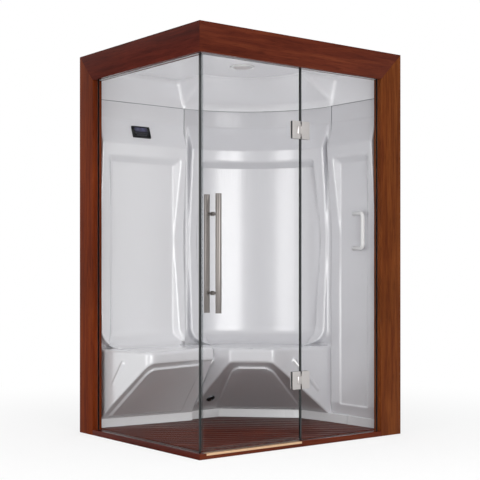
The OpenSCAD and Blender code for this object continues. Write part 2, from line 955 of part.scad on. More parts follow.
// Tube of the given length along x, y or z
module tube_along(axis, at, len) {
    s = [for (i = [0 : 2]) i == axis ? len : tube_s];
    in = [for (i = [0 : 2]) i == axis ? len + 2 : tube_s - 2 * tube_wall];
    d = [for (i = [0 : 2]) i == axis ? -1 : tube_wall];
    translate(at)
        difference() {
            cube(s);
            translate(d) cube(in);
        }
}

rail_zs = [tray_h + 15, wall_h / 2 + 24, wall_h - 60, roof_z + 10];

module rear_corner_post() {
    color("lightgray") tube_along(2, [rail_x, rail_y, 0], roof_z + 10 + tube_s);
}

module rear_rails() {
    color("lightgray")
        for (z = rail_zs) tube_along(0, [timber_t, rail_y, z], rail_x - timber_t);
}

module side_rails() {
    color("lightgray")
        for (z = rail_zs) tube_along(1, [rail_x, timber_t, z], rail_y - timber_t);
}

// Glass and seals

module left_glass() {
    color("lightcyan", 0.35)
        block([glass_set, glass_back_y + 7, pane_low_z],
            [glass_back_y, post_y + groove_d - seal_t, pane_high_z]);
}

module front_glass() {
    color("lightcyan", 0.35)
        difference() {
            block([pane_x, glass_y, pane_low_z],
                [post_x + groove_d - seal_t, glass_back_y, pane_high_z]);
            for (z = hinge_zs) fixed_cutout(z, 2);
        }
}

module left_glass_seal() {
    color("dimgray")
        difference() {
            block([glass_set - seal_t, glass_back_y + 7, sill_h - groove_d],
                [glass_back_y + seal_t, post_y + groove_d, fascia_z + groove_d]);
            block([0, 0, sill_h], [timber_t, post_y, fascia_z]);
            block([glass_set, 0, pane_low_z],
                [glass_back_y, post_y + groove_d - seal_t, pane_high_z]);
        }
}

module front_glass_seal() {
    color("dimgray")
        difference() {
            block([pane_x, glass_y - seal_t, sill_h - groove_d],
                [post_x + groove_d, glass_back_y + seal_t, fascia_z + groove_d]);
            block([0, 0, sill_h], [post_x, timber_t, fascia_z]);
            block([0, glass_y, pane_low_z],
                [post_x + groove_d - seal_t, glass_back_y, pane_high_z]);
        }
}

// Strips on the edges of the panes: a lip on each face and the body beyond the edge
lip_t = 1.2;
lip_w = 4;
corner_edge_y = glass_back_y + 7;

module corner_seal() {
    color("black")
        difference() {
            block([glass_set - lip_t, corner_edge_y - 5, sill_h],
                [glass_back_y + lip_t, corner_edge_y + lip_w, fascia_z]);
            block([glass_set, corner_edge_y, 0], [glass_back_y, cabin_d, cabin_h]);
        }
}

module hinge_side_seal() {
    color("black")
        difference() {
            block([pane_x - 5.5, glass_y - lip_t, sill_h + 1],
                [pane_x + lip_w, glass_back_y + lip_t, fascia_z]);
            block([pane_x, glass_y, 0], [pane_x + over, glass_back_y, cabin_h]);
            for (z = hinge_zs)
                block([0, 0, z - leaf_h / 2 - 2], [cabin_w, timber_t, z + leaf_h / 2 + 2]);
        }
}

module door_glass() {
    color("lightcyan", 0.35)
        difference() {
            block([door_x, glass_y, door_low_z], [door_edge_x, glass_back_y, door_high_z]);
            for (z = hinge_zs) door_cutout(z, 2);
            for (z = fixing_zs)
                translate([handle_x, 0, z]) rotate([-90, 0, 0]) cylinder(r = bush_r, h = timber_t);
        }
}

module door_edge_seal() {
    color("black")
        difference() {
            block([door_x - 6, glass_y - lip_t, door_low_z],
                [door_x + 2 * lip_w, glass_back_y + lip_t, door_high_z]);
            block([door_x, glass_y, 0], [door_x + over, glass_back_y, cabin_h]);
        }
}

module door_sweep() {
    color("dimgray")
        difference() {
            union() {
                block([door_x + 14, glass_y - lip_t, door_low_z - 4],
                    [door_edge_x - 1, glass_back_y + lip_t, door_low_z + 12]);
                block([door_x + 14, glass_mid - 1, sill_h + 1],
                    [door_edge_x - 1, glass_mid + 1, door_low_z]);
            }
            block([0, glass_y, door_low_z], [door_edge_x + 1, glass_back_y, cabin_h]);
        }
}

// Hinges: glass to glass, leaf plates on both faces, barrel in the door leaf's notch

core_h = 33;
grip = 16;
plate_y0 = glass_y - pad_t - leaf_t;
plate_y1 = glass_back_y + pad_t + leaf_t;
door_leaf_x = [door_edge_x - 1 - leaf_w + 1, door_edge_x - 1];
fixed_leaf_x = [door_leaf_x[1] + leaf_gap, door_leaf_x[1] + leaf_gap + leaf_w];
notch_x = axis_x - barrel_r - 0.6;
notch_h = barrel_h / 2 + 0.5;
screw_r = 2.5;

// Hole in the door glass for a leaf's core, grown by g
module door_cutout(z, g) {
    block([door_leaf_x[0] + grip - g, 0, z - core_h - g], [door_edge_x + over, timber_t, z + core_h + g]);
}

// Hole in the fixed glass for a leaf's core, grown by g
module fixed_cutout(z, g) {
    block([0, 0, z - core_h - g], [fixed_leaf_x[1] - grip + g, timber_t, z + core_h + g]);
}

module notch(z) {
    block([notch_x, 0, z - notch_h], [door_edge_x + over, timber_t + over, z + notch_h]);
}

// One face plate of a leaf, from y0 to y1
module leaf_plate(xs, z, y0, y1) {
    translate([(xs[0] + xs[1]) / 2, y1, z])
        rotate([90, 0, 0]) rounded_plate(xs[1] - xs[0], leaf_h, y1 - y0, 3);
}

module screw_holes(x, z, r) {
    for (s = [-1, 1])
        translate([x, glass_y, z + s * 27]) rotate([-90, 0, 0]) cylinder(r = r, h = timber_t);
}

door_screw_x = door_leaf_x[0] + grip + 7;
fixed_screw_x = fixed_leaf_x[1] - grip - 7;

module door_leaf(z) {
    color("silver")
        difference() {
            union() {
                leaf_plate(door_leaf_x, z, plate_y0, glass_y - pad_t);
                block([door_leaf_x[0] + grip, glass_y - pad_t - 1, z - core_h],
                    [door_leaf_x[1], glass_back_y + pad_t, z + core_h]);
            }
            notch(z);
            translate([axis_x, glass_mid, z - core_h - 5])
                cylinder(r = pin_r + press_gap, h = 2 * core_h + 10);
            screw_holes(door_screw_x, z, screw_r);
        }
}

module fixed_leaf(z) {
    color("silver")
        difference() {
            union() {
                leaf_plate(fixed_leaf_x, z, plate_y0, glass_y - pad_t);
                block([fixed_leaf_x[0] - 2, glass_y - pad_t - 1, z - core_h],
                    [fixed_leaf_x[1] - grip, glass_back_y + pad_t, z + core_h]);
                translate([axis_x, glass_mid, z - barrel_h / 2]) cylinder(r = barrel_r, h = barrel_h);
                block([axis_x, glass_mid - 9.5, z - barrel_h / 2],
                    [fixed_leaf_x[0], glass_mid + 9.5, z + barrel_h / 2]);
            }
            translate([axis_x, glass_mid, z - barrel_h]) cylinder(r = pin_r + run_gap, h = 2 * barrel_h);
            screw_holes(fixed_screw_x, z, screw_r);
        }
}

// Inner clamp plates
module door_leaf_clamps() {
    color("silver")
        for (z = hinge_zs)
            difference() {
                leaf_plate(door_leaf_x, z, glass_back_y + pad_t, plate_y1);
                notch(z);
                screw_holes(door_screw_x, z, screw_r + 0.2);
                countersinks(door_screw_x, z, 0);
            }
}

module fixed_leaf_clamps() {
    color("silver")
        for (z = hinge_zs)
            difference() {
                leaf_plate(fixed_leaf_x, z, glass_back_y + pad_t, plate_y1);
                screw_holes(fixed_screw_x, z, screw_r + 0.2);
                countersinks(fixed_screw_x, z, 0);
            }
}

module countersinks(x, z, g) {
    for (s = [-1, 1])
        translate([x, plate_y1 - 3 + g, z + s * 27])
            rotate([-90, 0, 0]) cylinder(r1 = screw_r, r2 = screw_r + 3, h = 3);
}

module leaf_screws(x) {
    for (z = hinge_zs) {
        countersinks(x, z, run_gap);
        for (s = [-1, 1])
            translate([x, glass_y + 2, z + s * 27])
                rotate([-90, 0, 0]) cylinder(r = screw_r - run_gap, h = plate_y1 - glass_y - 3);
    }
}

module fixed_leaf_screws() {
    color("silver") leaf_screws(fixed_screw_x);
}

module door_leaf_screws() {
    color("silver") leaf_screws(door_screw_x);
}

module leaf_pads(xs, z) {
    for (y = [glass_y - pad_t, glass_back_y])
        leaf_plate(xs, z, y, y + pad_t);
}

module fixed_leaf_pads() {
    color("black")
        for (z = hinge_zs)
            difference() {
                leaf_pads([fixed_leaf_x[0], fixed_leaf_x[1]], z);
                fixed_cutout(z, 0.2);
                block([0, 0, 0], [pane_x, timber_t, cabin_h]);
            }
}

module door_leaf_pads() {
    color("black")
        for (z = hinge_zs)
            difference() {
                leaf_pads(door_leaf_x, z);
                door_cutout(z, 0.2);
            }
}

module hinge_pins() {
    color("gray")
        for (z = hinge_zs)
            translate([axis_x, glass_mid, z - core_h]) cylinder(r = pin_r, h = 2 * core_h);
}

// Pull handles, back to back through the glass

tube_w = 1.5;
rod_r = 7;
collar_r = 11;
collar_t = 4;
bush_r = 7;
bolt_r = 4;
fixing_zs = [handle_z - handle_pitch / 2, handle_z + handle_pitch / 2];

// Closed tube with the standoffs' holes, at distance y from the front
module handle_tube(y, side) {
    translate([handle_x, y, handle_z - handle_len / 2])
        difference() {
            cylinder(r = handle_r, h = handle_len);
            translate([0, 0, 3]) cylinder(r = handle_r - tube_w, h = handle_len - 6);
            for (z = fixing_zs)
                translate([0, 0, z - handle_z + handle_len / 2])
                    rotate([-90 * side, 0, 0]) cylinder(r = rod_r + run_gap, h = handle_r + 1);
        }
}

module outer_handle() {
    color("silver") handle_tube(glass_y - handle_off, 1);
}

module inner_handle() {
    color("silver") handle_tube(glass_back_y + handle_off, -1);
}

module standoff() {
    difference() {
        union() {
            translate([0, 0, 1]) cylinder(r = collar_r, h = collar_t - 1);
            cylinder(r = bush_r + 2, h = 1);
            cylinder(r = rod_r, h = handle_off - handle_r + 4);
        }
        translate([0, 0, -1]) cylinder(r = bolt_r + run_gap, h = 20);
    }
}

module handle_standoffs() {
    color("silver")
        for (z = fixing_zs) {
            translate([handle_x, glass_y, z]) rotate([90, 0, 0]) standoff();
            translate([handle_x, glass_back_y, z]) rotate([-90, 0, 0]) standoff();
        }
}

module handle_bolts() {
    color("gray")
        for (z = fixing_zs)
            translate([handle_x, glass_y - 16, z]) {
                rotate([-90, 0, 0]) cylinder(r = bolt_r, h = glass_t + 32);
                translate([0, 16.2, 0]) rotate([-90, 0, 0]) cylinder(r = bush_r - 0.1, h = glass_t - 0.4);
            }
}

// Control panel on the sloping band

band_tilt = atan(head_p / band_h);
// Share of the band's height below the panel's middle
panel_up = 0.55;

// Middle of the panel's back, z out into the room
module panel_place() {
    translate([panel_x, wall_y - head_p * (1 - panel_up), band_low_z + band_h * panel_up])
        rotate([90 - band_tilt, 0, 0]) children();
}

module control_panel_case() {
    color("black")
        panel_place()
            difference() {
                union() {
                    rounded_plate(panel_w, panel_h, 8, 5);
                    translate([0, 0, -22]) rounded_plate(panel_w - 18, panel_h - 18, 24, 3);
                }
                translate([0, 0, 6]) rounded_plate(panel_w - 6, panel_h - 6, 4, 4);
                translate([0, 0, -20]) rounded_plate(panel_w - 24, panel_h - 24, 27, 2);
            }
}

module control_panel_glass() {
    color("midnightblue")
        panel_place() translate([0, 0, 6]) rounded_plate(panel_w - 6.4, panel_h - 6.4, 2.4, 4);
}

// Grab handle on the side wall: bar with two arms swept back to the wall

grab_z = 1183;
grab_bend = 28;
grab_arm = 118;
grab_foot_y = 283;
grab_bolt_r = 3;
grab_lean = 73;
grab_zs = [grab_z - grab_len / 2 - grab_bend, grab_z + grab_len / 2 + grab_bend];

// Handle's own frame: x out of the wall, y towards the front, at the foot of the lower arm
module grab_place() {
    translate([wall_x - recess_floor_p, grab_foot_y, grab_z]) rotate([0, 0, 180 + grab_lean]) children();
}

module grab_handle() {
    color("white")
        grab_place()
            difference() {
                union()
                    for (s = [-1, 1])
                        translate([0, 0, s * (grab_len / 2 + grab_bend)]) {
                            rotate([0, 90 , 0]) cylinder(r = grab_r, h = grab_arm - grab_bend);
                            translate([grab_arm - grab_bend, 0, -s * grab_bend])
                                rotate([90, 0, 0])
                                    rotate([0, 0, s > 0 ? 0 : -90])
                                        rotate_extrude(angle = 90)
                                            translate([grab_bend, 0]) circle(r = grab_r);
                            translate([grab_arm, 0, -s * grab_bend - (s > 0 ? grab_len / 2 : 0)])
                                cylinder(r = grab_r, h = grab_len / 2);
                        }
                rotate([0, 0, -grab_lean]) translate([-60, -100, -200]) cube([60 + seat_gap, 200, 400]);
            }
}

module grab_handle_screws() {
    color("silver")
        for (z = grab_zs)
            translate([wall_x - recess_floor_p + sheet_t, grab_foot_y, z])
                rotate([0, 90, 0]) {
                    cylinder(r = 8, h = 3);
                    translate([0, 0, -sheet_t]) cylinder(r = grab_bolt_r, h = sheet_t + 1);
                }
}

// Steam supply

pipe_r = 11;
heel_tilt = atan((apron_z + 1 - heel_z) / (corner_seat_d + 2 - heel_foot));
outlet_x = seam_x + 83;
outlet_back = 163;
outlet_z = heel_z + (outlet_back - heel_foot) * tan(heel_tilt);

// Steam outlet's foot on the slope beside the kick panel, z out into the room
module outlet_place() {
    translate([outlet_x, wall_y - outlet_back, outlet_z]) rotate([180 - heel_tilt, 0, 0]) children();
}

module steam_outlet() {
    color("dimgray")
        outlet_place()
            difference() {
                union() {
                    translate([0, 0, 1])
                        rotate_extrude()
                            polygon(concat([[0, 0], [outlet_r, 0]], [
                                for (a = [0 : 15 : 90]) [outlet_r * cos(a), 4 + 10 * sin(a)]
                            ]));
                    translate([0, 0, -22]) cylinder(r = pipe_r + 1.5, h = 24);
                }
                translate([0, 0, -23]) cylinder(r = pipe_r - 2, h = 28);
                translate([-4, -outlet_r - 1, 4]) cube([8, outlet_r, 6]);
            }
}

gen_size = [250, 185, 320];
gen_in = [28, -33];
gen_at = [wall_x - gen_size[0] + gen_in[0], wall_y - gen_size[1] - gen_in[1], tray_h];
pipe_start = 23;
pipe_reach = gen_at[0] - outlet_x - 0.3;

module steam_generator() {
    color("silver")
        translate(gen_at)
            difference() {
                union() {
                    translate([gen_size[0] / 2, gen_size[1] / 2, 8])
                        rounded_plate(gen_size[0], gen_size[1], gen_size[2] - 8, 16);
                    for (x = [30, gen_size[0] - 30], y = [30, gen_size[1] - 30])
                        translate([x, y, 0]) cylinder(r = 12, h = 10);
                    translate([gen_size[0] / 2, gen_size[1] / 2, gen_size[2] - 24])
                        rounded_plate(gen_size[0] + 6, gen_size[1] + 6, 24, 18);
                }
                translate([gen_size[0] - 60, gen_size[1] - 60, gen_size[2] - 12]) cylinder(r = 10.5, h = 20);
                translate([gen_size[0] - 110, gen_size[1] - 60, gen_size[2] - 12]) cylinder(r = 9, h = 20);
            }
}

// Pipe from the outlet's tail, round a bend to the generator's side
pipe_wall = 1.5;
pipe_bend = 45;
pipe_rise = 110;

module steam_pipe() {
    color("peru")
        outlet_place()
            rotate([180, 0, 0])
                difference() {
                    union() {
                        pipe_run(pipe_r, 0);
                        translate([0, 0, pipe_start + 2]) cylinder(r = pipe_r + 5, h = 16, $fn = 6);
                        translate([pipe_reach - 16, 0, pipe_rise])
                            rotate([0, 90, 0]) cylinder(r = pipe_r + 5, h = 14, $fn = 6);
                    }
                    pipe_run(pipe_r - pipe_wall, 1);
                }
}

// Rod along the pipe's middle, longer by e at both ends
module pipe_run(r, e) {
    translate([0, 0, pipe_start - e]) cylinder(r = r, h = pipe_rise - pipe_bend - pipe_start + e);
    translate([pipe_bend, 0, pipe_rise - pipe_bend])
        rotate([90, 0, 0]) rotate([0, 0, 90])
            rotate_extrude(angle = 90) translate([pipe_bend, 0]) circle(r = r);
    translate([pipe_bend, 0, pipe_rise]) rotate([0, 90, 0]) cylinder(r = r, h = pipe_reach - pipe_bend + e);
}

module water_inlet() {
    color("gold")
        translate(gen_at + [gen_size[0] - 60, gen_size[1] - 60, gen_size[2] - 12])
            difference() {
                union() {
                    cylinder(r = 10.5 - run_gap, h = 30);
                    translate([0, 0, 12]) cylinder(r = 15, h = 8, $fn = 6);
                }
                translate([0, 0, 4]) cylinder(r = 7, h = 30);
            }
}

module cable_gland() {
    color("dimgray")
        translate(gen_at + [gen_size[0] - 110, gen_size[1] - 60, gen_size[2] - 12])
            difference() {
                union() {
                    cylinder(r = 9 - run_gap, h = 26);
                    translate([0, 0, 12]) cylinder(r = 13, h = 7, $fn = 6);
                }
                translate([0, 0, -1]) cylinder(r = 5, h = 30);
            }
}

// The origin: middle of the cabin's plan, at the floor
module placed() {
    translate([-cabin_w / 2, -cabin_d / 2, 0]) children();
}

placed() front_fascia();
placed() left_fascia();
placed() right_post();
placed() rear_post();
placed() front_sill();
placed() left_sill();
placed() threshold_strip();
placed() floor_tray();
placed() drain_body();
placed() drain_grate();
placed() duckboard_slats();
placed() duckboard_battens();
placed() back_wall();
placed() corner_wall();
placed() side_wall();
placed() ceiling_cover();
placed() ceiling_seal();
placed() module_seals();
placed() roof_battens();
placed() rear_corner_post();
placed() rear_rails();
placed() side_rails();
placed() left_glass();
placed() front_glass();
placed() left_glass_seal();
placed() front_glass_seal();
placed() corner_seal();
placed() hinge_side_seal();
placed() fixed_leaf(hinge_high_z);  // upper_fixed_leaf
placed() fixed_leaf(hinge_low_z);  // lower_fixed_leaf
placed() fixed_leaf_clamps();
placed() fixed_leaf_pads();
placed() fixed_leaf_screws();
placed() control_panel_case();
placed() control_panel_glass();
placed() grab_handle();
placed() grab_handle_screws();
placed() steam_outlet();
placed() steam_pipe();
placed() steam_generator();
placed() water_inlet();
placed() cable_gland();
placed() lamp_ring();
placed() lamp_lens();
placed() cover_screws();
placed() door_glass();
placed() door_edge_seal();
placed() door_sweep();
placed() door_leaf(hinge_high_z);  // upper_door_leaf
placed() door_leaf(hinge_low_z);  // lower_door_leaf
placed() door_leaf_clamps();
placed() door_leaf_pads();
placed() door_leaf_screws();
placed() hinge_pins();
placed() outer_handle();
placed() inner_handle();
placed() handle_standoffs();
placed() handle_bolts();
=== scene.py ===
import itertools
import json
import math

import bmesh
import bpy
import numpy as np
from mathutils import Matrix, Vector


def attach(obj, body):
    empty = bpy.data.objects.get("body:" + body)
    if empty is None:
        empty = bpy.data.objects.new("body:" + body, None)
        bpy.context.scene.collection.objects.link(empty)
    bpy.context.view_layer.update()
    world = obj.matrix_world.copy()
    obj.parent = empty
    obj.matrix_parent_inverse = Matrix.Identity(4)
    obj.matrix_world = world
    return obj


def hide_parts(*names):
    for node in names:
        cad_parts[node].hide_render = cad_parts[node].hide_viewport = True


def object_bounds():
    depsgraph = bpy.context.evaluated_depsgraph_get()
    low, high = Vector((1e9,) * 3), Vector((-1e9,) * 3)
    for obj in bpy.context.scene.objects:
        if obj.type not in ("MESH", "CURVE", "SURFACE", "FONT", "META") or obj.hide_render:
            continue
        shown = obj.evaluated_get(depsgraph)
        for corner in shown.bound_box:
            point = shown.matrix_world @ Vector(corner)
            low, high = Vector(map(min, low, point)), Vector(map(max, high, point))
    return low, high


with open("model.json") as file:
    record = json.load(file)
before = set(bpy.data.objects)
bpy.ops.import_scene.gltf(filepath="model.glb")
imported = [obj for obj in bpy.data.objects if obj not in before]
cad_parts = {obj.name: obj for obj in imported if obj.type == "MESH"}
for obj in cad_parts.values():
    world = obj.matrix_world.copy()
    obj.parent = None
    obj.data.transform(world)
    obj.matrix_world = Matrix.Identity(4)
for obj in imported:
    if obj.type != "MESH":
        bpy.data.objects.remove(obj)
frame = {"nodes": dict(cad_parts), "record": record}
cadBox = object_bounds()
scene = bpy.context.scene
nodes = frame["nodes"]
bodyOf = {n: b for b, names in frame["record"]["behaviour"]["bodies"].items() for n in names}

# Cabin coordinates run in mm from the near corner: s along the front, t back, z up
planMid = [round(1000 * cadBox[1][0]), round(1000 * cadBox[1][1]), 0]  # the frame's origin
mergeGap = 2e-5  # metres within which two corners of a node are one


# Cabin mm to the frame's metres
def place(points):
    return (np.asarray(points, float) - planMid) / 1000


# Colours and materials, with the sizes of their patterns in mm


def linear(code):
    parts = [int(code[i:i + 2], 16) / 255 for i in (1, 3, 5)]
    return (*[c / 12.92 if c <= 0.04045 else ((c + 0.055) / 1.055) ** 2.4 for c in parts], 1.0)


# Adds a node; links maps an input to a node, a socket or a value, and stops are a ramp's places and tones
def addNode(tree, kind, links=None, stops=(), **settings):
    node = tree.nodes.new(kind)
    for key, value in settings.items():
        setattr(node, key, value)
    for name, source in (links or {}).items():
        if isinstance(source, bpy.types.Node):
            source = source.outputs[0]
        if isinstance(source, bpy.types.NodeSocket):
            tree.links.new(source, node.inputs[name])
        else:
            node.inputs[name].default_value = source
    for i, (at, tone) in enumerate(stops):
        element = node.color_ramp.elements[i] if i < 2 else node.color_ramp.elements.new(at)
        element.position = at
        element.color = linear(tone) if isinstance(tone, str) else (tone,) * 3 + (1,)
    return node


# Object coordinates, turned and then scaled
def objectSpace(tree, scale=(1, 1, 1), turn=(0, 0, 0)):
    coords = addNode(tree, "ShaderNodeTexCoord")
    turned = addNode(tree, "ShaderNodeMapping", {"Vector": coords.outputs["Object"], "Rotation": turn})
    return addNode(tree, "ShaderNodeMapping", {"Vector": turned, "Scale": scale})


# Scale per metre of a pattern that is so many mm wide, and drawn out along one axis
def grainScale(width, length, axis):
    scale = [1000 / width] * 3
    scale[axis] = 1000 / length
    return scale


def newMaterial(name):
    material = bpy.data.materials.new(name)
    material.use_nodes = True
    material.node_tree.nodes.clear()
    return material, material.node_tree


def finished(material, shader):
    addNode(material.node_tree, "ShaderNodeOutputMaterial", {"Surface": shader})
    return material


# Stained timber: long fibres along the grain, short darker pores, and a lacquer that shines at a slant
def wood(name, grain, dark, mid, light, coat, shine):
    fibre, pore, patch = (29.4, 455), (3.333, 91), 455  # width and length; the pores are drawn wide, to show
    material, tree = newMaterial(name)
    axis = {"x": 0, "y": 1, "z": 2, "diagonal": 1}[grain]
    turn = (0, 0, math.radians(-45 if grain == "diagonal" else 0))
    wide = addNode(tree, "ShaderNodeTexNoise", {
        "Vector": objectSpace(tree, grainScale(*fibre, axis), turn), "Scale": 1.0, "Detail": 8.0,
        "Roughness": 0.62, "Distortion": 0.5})
    fine = addNode(tree, "ShaderNodeTexNoise", {
        "Vector": objectSpace(tree, grainScale(*pore, axis), turn), "Scale": 1.0, "Detail": 3.0,
        "Roughness": 0.55})
    cloud = addNode(tree, "ShaderNodeTexNoise", {
        "Vector": objectSpace(tree), "Scale": 1000 / patch, "Detail": 2.0})
    tone = addNode(tree, "ShaderNodeValToRGB", {"Fac": wide}, [(0.3, dark), (0.52, mid), (0.72, light)])
    poreTone = addNode(tree, "ShaderNodeValToRGB", {"Fac": fine}, [(0.36, 0.62), (0.47, 1.0)])
    cloudTone = addNode(tree, "ShaderNodeValToRGB", {"Fac": cloud}, [(0.35, 0.86), (0.65, 1.08)])
    pored = addNode(tree, "ShaderNodeMix", {"Factor": 0.8, 6: tone, 7: poreTone},
                    data_type="RGBA", blend_type="MULTIPLY")
    base = addNode(tree, "ShaderNodeMix", {"Factor": 1.0, 6: pored.outputs[2], 7: cloudTone},
                   data_type="RGBA", blend_type="MULTIPLY")
    slant = addNode(tree, "ShaderNodeLayerWeight", {"Blend": 0.5}).outputs["Facing"]
    film = addNode(tree, "ShaderNodeMapRange", {
        "Value": slant, "From Min": 0.74, "From Max": 0.86, "To Min": 0.02, "To Max": coat})
    gloss = addNode(tree, "ShaderNodeMapRange", {"Value": wide, "To Min": shine, "To Max": shine + 0.14})
    relief = addNode(tree, "ShaderNodeBump", {"Height": fine, "Distance": 0.0002, "Strength": 0.35})
    shader = addNode(tree, "ShaderNodeBsdfPrincipled", {
        "Base Color": base.outputs[2], "Specular IOR Level": 0.04, "Roughness": gloss, "Normal": relief,
        "Coat Weight": film, "Coat Roughness": 0.12})
    return finished(material, shader)


# Vacuum-formed gloss acrylic: a wet sheen with soft highlights, faint ripples and wiped streaks
def acrylic(name, code, rough=0.2):
    rippleWidth, smearWidth = 71.4, 200
    material, tree = newMaterial(name)
    ripple = addNode(tree, "ShaderNodeTexNoise", {
        "Vector": objectSpace(tree), "Scale": 1000 / rippleWidth, "Detail": 2.0})
    smear = addNode(tree, "ShaderNodeTexNoise", {
        "Vector": objectSpace(tree, (1, 1, 0.3)), "Scale": 1000 / smearWidth, "Detail": 5.0,
        "Roughness": 0.6, "Distortion": 0.4})
    gloss = addNode(tree, "ShaderNodeMapRange", {"Value": smear, "To Min": rough, "To Max": rough + 0.08})
    relief = addNode(tree, "ShaderNodeBump", {"Height": ripple, "Distance": 0.0006, "Strength": 0.1})
    shader = addNode(tree, "ShaderNodeBsdfPrincipled", {
        "Base Color": linear(code), "Roughness": gloss, "Normal": relief, "IOR": 1.6,
        "Coat Weight": 1.0, "Coat Roughness": 0.2, "Coat IOR": 1.8})
    return finished(material, shader)


# Metal: fine lines along the brushed axis, or an even polish, that break up what it mirrors
def metal(name, code, rough, brush=None):
    line, polish = (1.111, 71.4), 26.3  # the brushing is drawn wider than it is, to show
    material, tree = newMaterial(name)
    scale = grainScale(*line, "xyz".index(brush)) if brush else [1000 / polish] * 3
    grain = addNode(tree, "ShaderNodeTexNoise", {
        "Vector": objectSpace(tree, scale), "Scale": 1.0, "Detail": 3.0 if brush else 5.0, "Roughness": 0.6})
    gloss = addNode(tree, "ShaderNodeMapRange", {"Value": grain, "To Min": rough, "To Max": rough + 0.12})
    relief = addNode(tree, "ShaderNodeBump", {"Height": grain, "Distance": 0.00004, "Strength": 0.5})
    shader = addNode(tree, "ShaderNodeBsdfPrincipled", {
        "Base Color": linear(code), "Metallic": 1.0, "Roughness": gloss, "Normal": relief})
    return finished(material, shader)


# Moulded plastic, sealant or rubber: an even colour with a fine grain that dulls the shine a little
def plastic(name, code, rough, grainWidth=3.85, depth=0.00006, level=0.5):
    material, tree = newMaterial(name)
    grain = addNode(tree, "ShaderNodeTexNoise", {
        "Vector": objectSpace(tree), "Scale": 1000 / grainWidth, "Detail": 3.0})
    gloss = addNode(tree, "ShaderNodeMapRange", {"Value": grain, "To Min": rough, "To Max": rough + 0.12})
    relief = addNode(tree, "ShaderNodeBump", {"Height": grain, "Distance": depth, "Strength": 0.4})
    shader = addNode(tree, "ShaderNodeBsdfPrincipled", {
        "Base Color": linear(code), "Roughness": gloss, "Normal": relief, "Specular IOR Level": level})
    return finished(material, shader)


# Toughened glass: light passes straight through, with a faint sheen at a slant and a trace of haze
def paneGlass():
    hazeWidth = 333.3
    material, tree = newMaterial("toughened_glass")
    cloud = addNode(tree, "ShaderNodeTexNoise", {
        "Vector": objectSpace(tree), "Scale": 1000 / hazeWidth, "Detail": 6.0, "Roughness": 0.6,
        "Distortion": 0.8})
    haze = addNode(tree, "ShaderNodeValToRGB", {"Fac": cloud}, [(0.4, 0.0), (0.8, 0.004)])
    through = addNode(tree, "ShaderNodeBsdfTransparent", {"Color": linear("#fdfdfd")})
    mirror = addNode(tree, "ShaderNodeBsdfGlossy", {"Color": (1, 1, 1, 1), "Roughness": 0.02})
    film = addNode(tree, "ShaderNodeBsdfDiffuse", {"Color": linear("#e8ecec")})
    slant = addNode(tree, "ShaderNodeLayerWeight", {"Blend": 0.5}).outputs["Facing"]
    steep = addNode(tree, "ShaderNodeMath", {0: slant, 1: 5.0}, operation="POWER")
    sheen = addNode(tree, "ShaderNodeMath", {0: steep, 1: 0.4}, operation="MULTIPLY")
    clear = addNode(tree, "ShaderNodeMixShader", {0: sheen, 1: through, 2: mirror})
    face = addNode(tree, "ShaderNodeMixShader", {0: haze, 1: clear, 2: film})
    return finished(material, face)


# Frosted acrylic of the lamp lens: pale, with a soft inner glow of passing light
def frostedLens():
    frostWidth = 8.33
    material, tree = newMaterial("frosted_lamp_lens")
    grain = addNode(tree, "ShaderNodeTexNoise", {
        "Vector": objectSpace(tree, (1, 1, 0.2)), "Scale": 1000 / frostWidth, "Detail": 3.0})
    gloss = addNode(tree, "ShaderNodeMapRange", {"Value": grain, "To Min": 0.35, "To Max": 0.45})
    shader = addNode(tree, "ShaderNodeBsdfPrincipled", {
        "Base Color": linear("#efe9e9"), "Transmission Weight": 0.4, "IOR": 1.46, "Roughness": gloss})
    return finished(material, shader)


# Clear extruded PVC seal: nearly see-through, with a faint milky film
def stripSeal():
    filmWidth = 33.3
    material, tree = newMaterial("clear_strip_seal")
    cloud = addNode(tree, "ShaderNodeTexNoise", {
        "Vector": objectSpace(tree, (1, 1, 0.2)), "Scale": 1000 / filmWidth, "Detail": 2.0})
    share = addNode(tree, "ShaderNodeMapRange", {"Value": cloud, "To Min": 0.0, "To Max": 0.03})
    through = addNode(tree, "ShaderNodeBsdfTransparent", {"Color": linear("#fbfcfc")})
    milk = addNode(tree, "ShaderNodeBsdfPrincipled", {"Base Color": linear("#eef0f0"), "Roughness": 0.3})
    mix = addNode(tree, "ShaderNodeMixShader", {0: share, 1: through, 2: milk})
    return finished(material, mix)


# Dark rubber gasket round a pane, pale grey along the panes' top edges
def glazingSeal():
    paleTopStart, paleTopEnds, grainWidth = 2.02, {"X": 0.555, "Y": 0.435}, 5
    material, tree = newMaterial("glazing_gasket")
    where = objectSpace(tree)
    parts = addNode(tree, "ShaderNodeSeparateXYZ", {0: where})
    # Above this height and short of the posts' ends the gasket is coloured pale grey; elsewhere it is dark
    top = addNode(tree, "ShaderNodeMath", {0: parts.outputs["Z"], 1: paleTopStart}, operation="GREATER_THAN")
    for axis, end in paleTopEnds.items():
        inner = addNode(tree, "ShaderNodeMath", {0: parts.outputs[axis], 1: end}, operation="LESS_THAN")
        top = addNode(tree, "ShaderNodeMath", {0: top, 1: inner}, operation="MULTIPLY")
    tone = addNode(tree, "ShaderNodeMix", {"Factor": top, 6: linear("#181b1e"), 7: linear("#d8d8da")},
                   data_type="RGBA")
    grain = addNode(tree, "ShaderNodeTexNoise", {"Vector": where, "Scale": 1000 / grainWidth, "Detail": 4.0})
    gloss = addNode(tree, "ShaderNodeMapRange", {"Value": grain, "To Min": 0.35, "To Max": 0.5})
    shader = addNode(tree, "ShaderNodeBsdfPrincipled", {"Base Color": tone.outputs[2], "Roughness": gloss})
    return finished(material, shader)


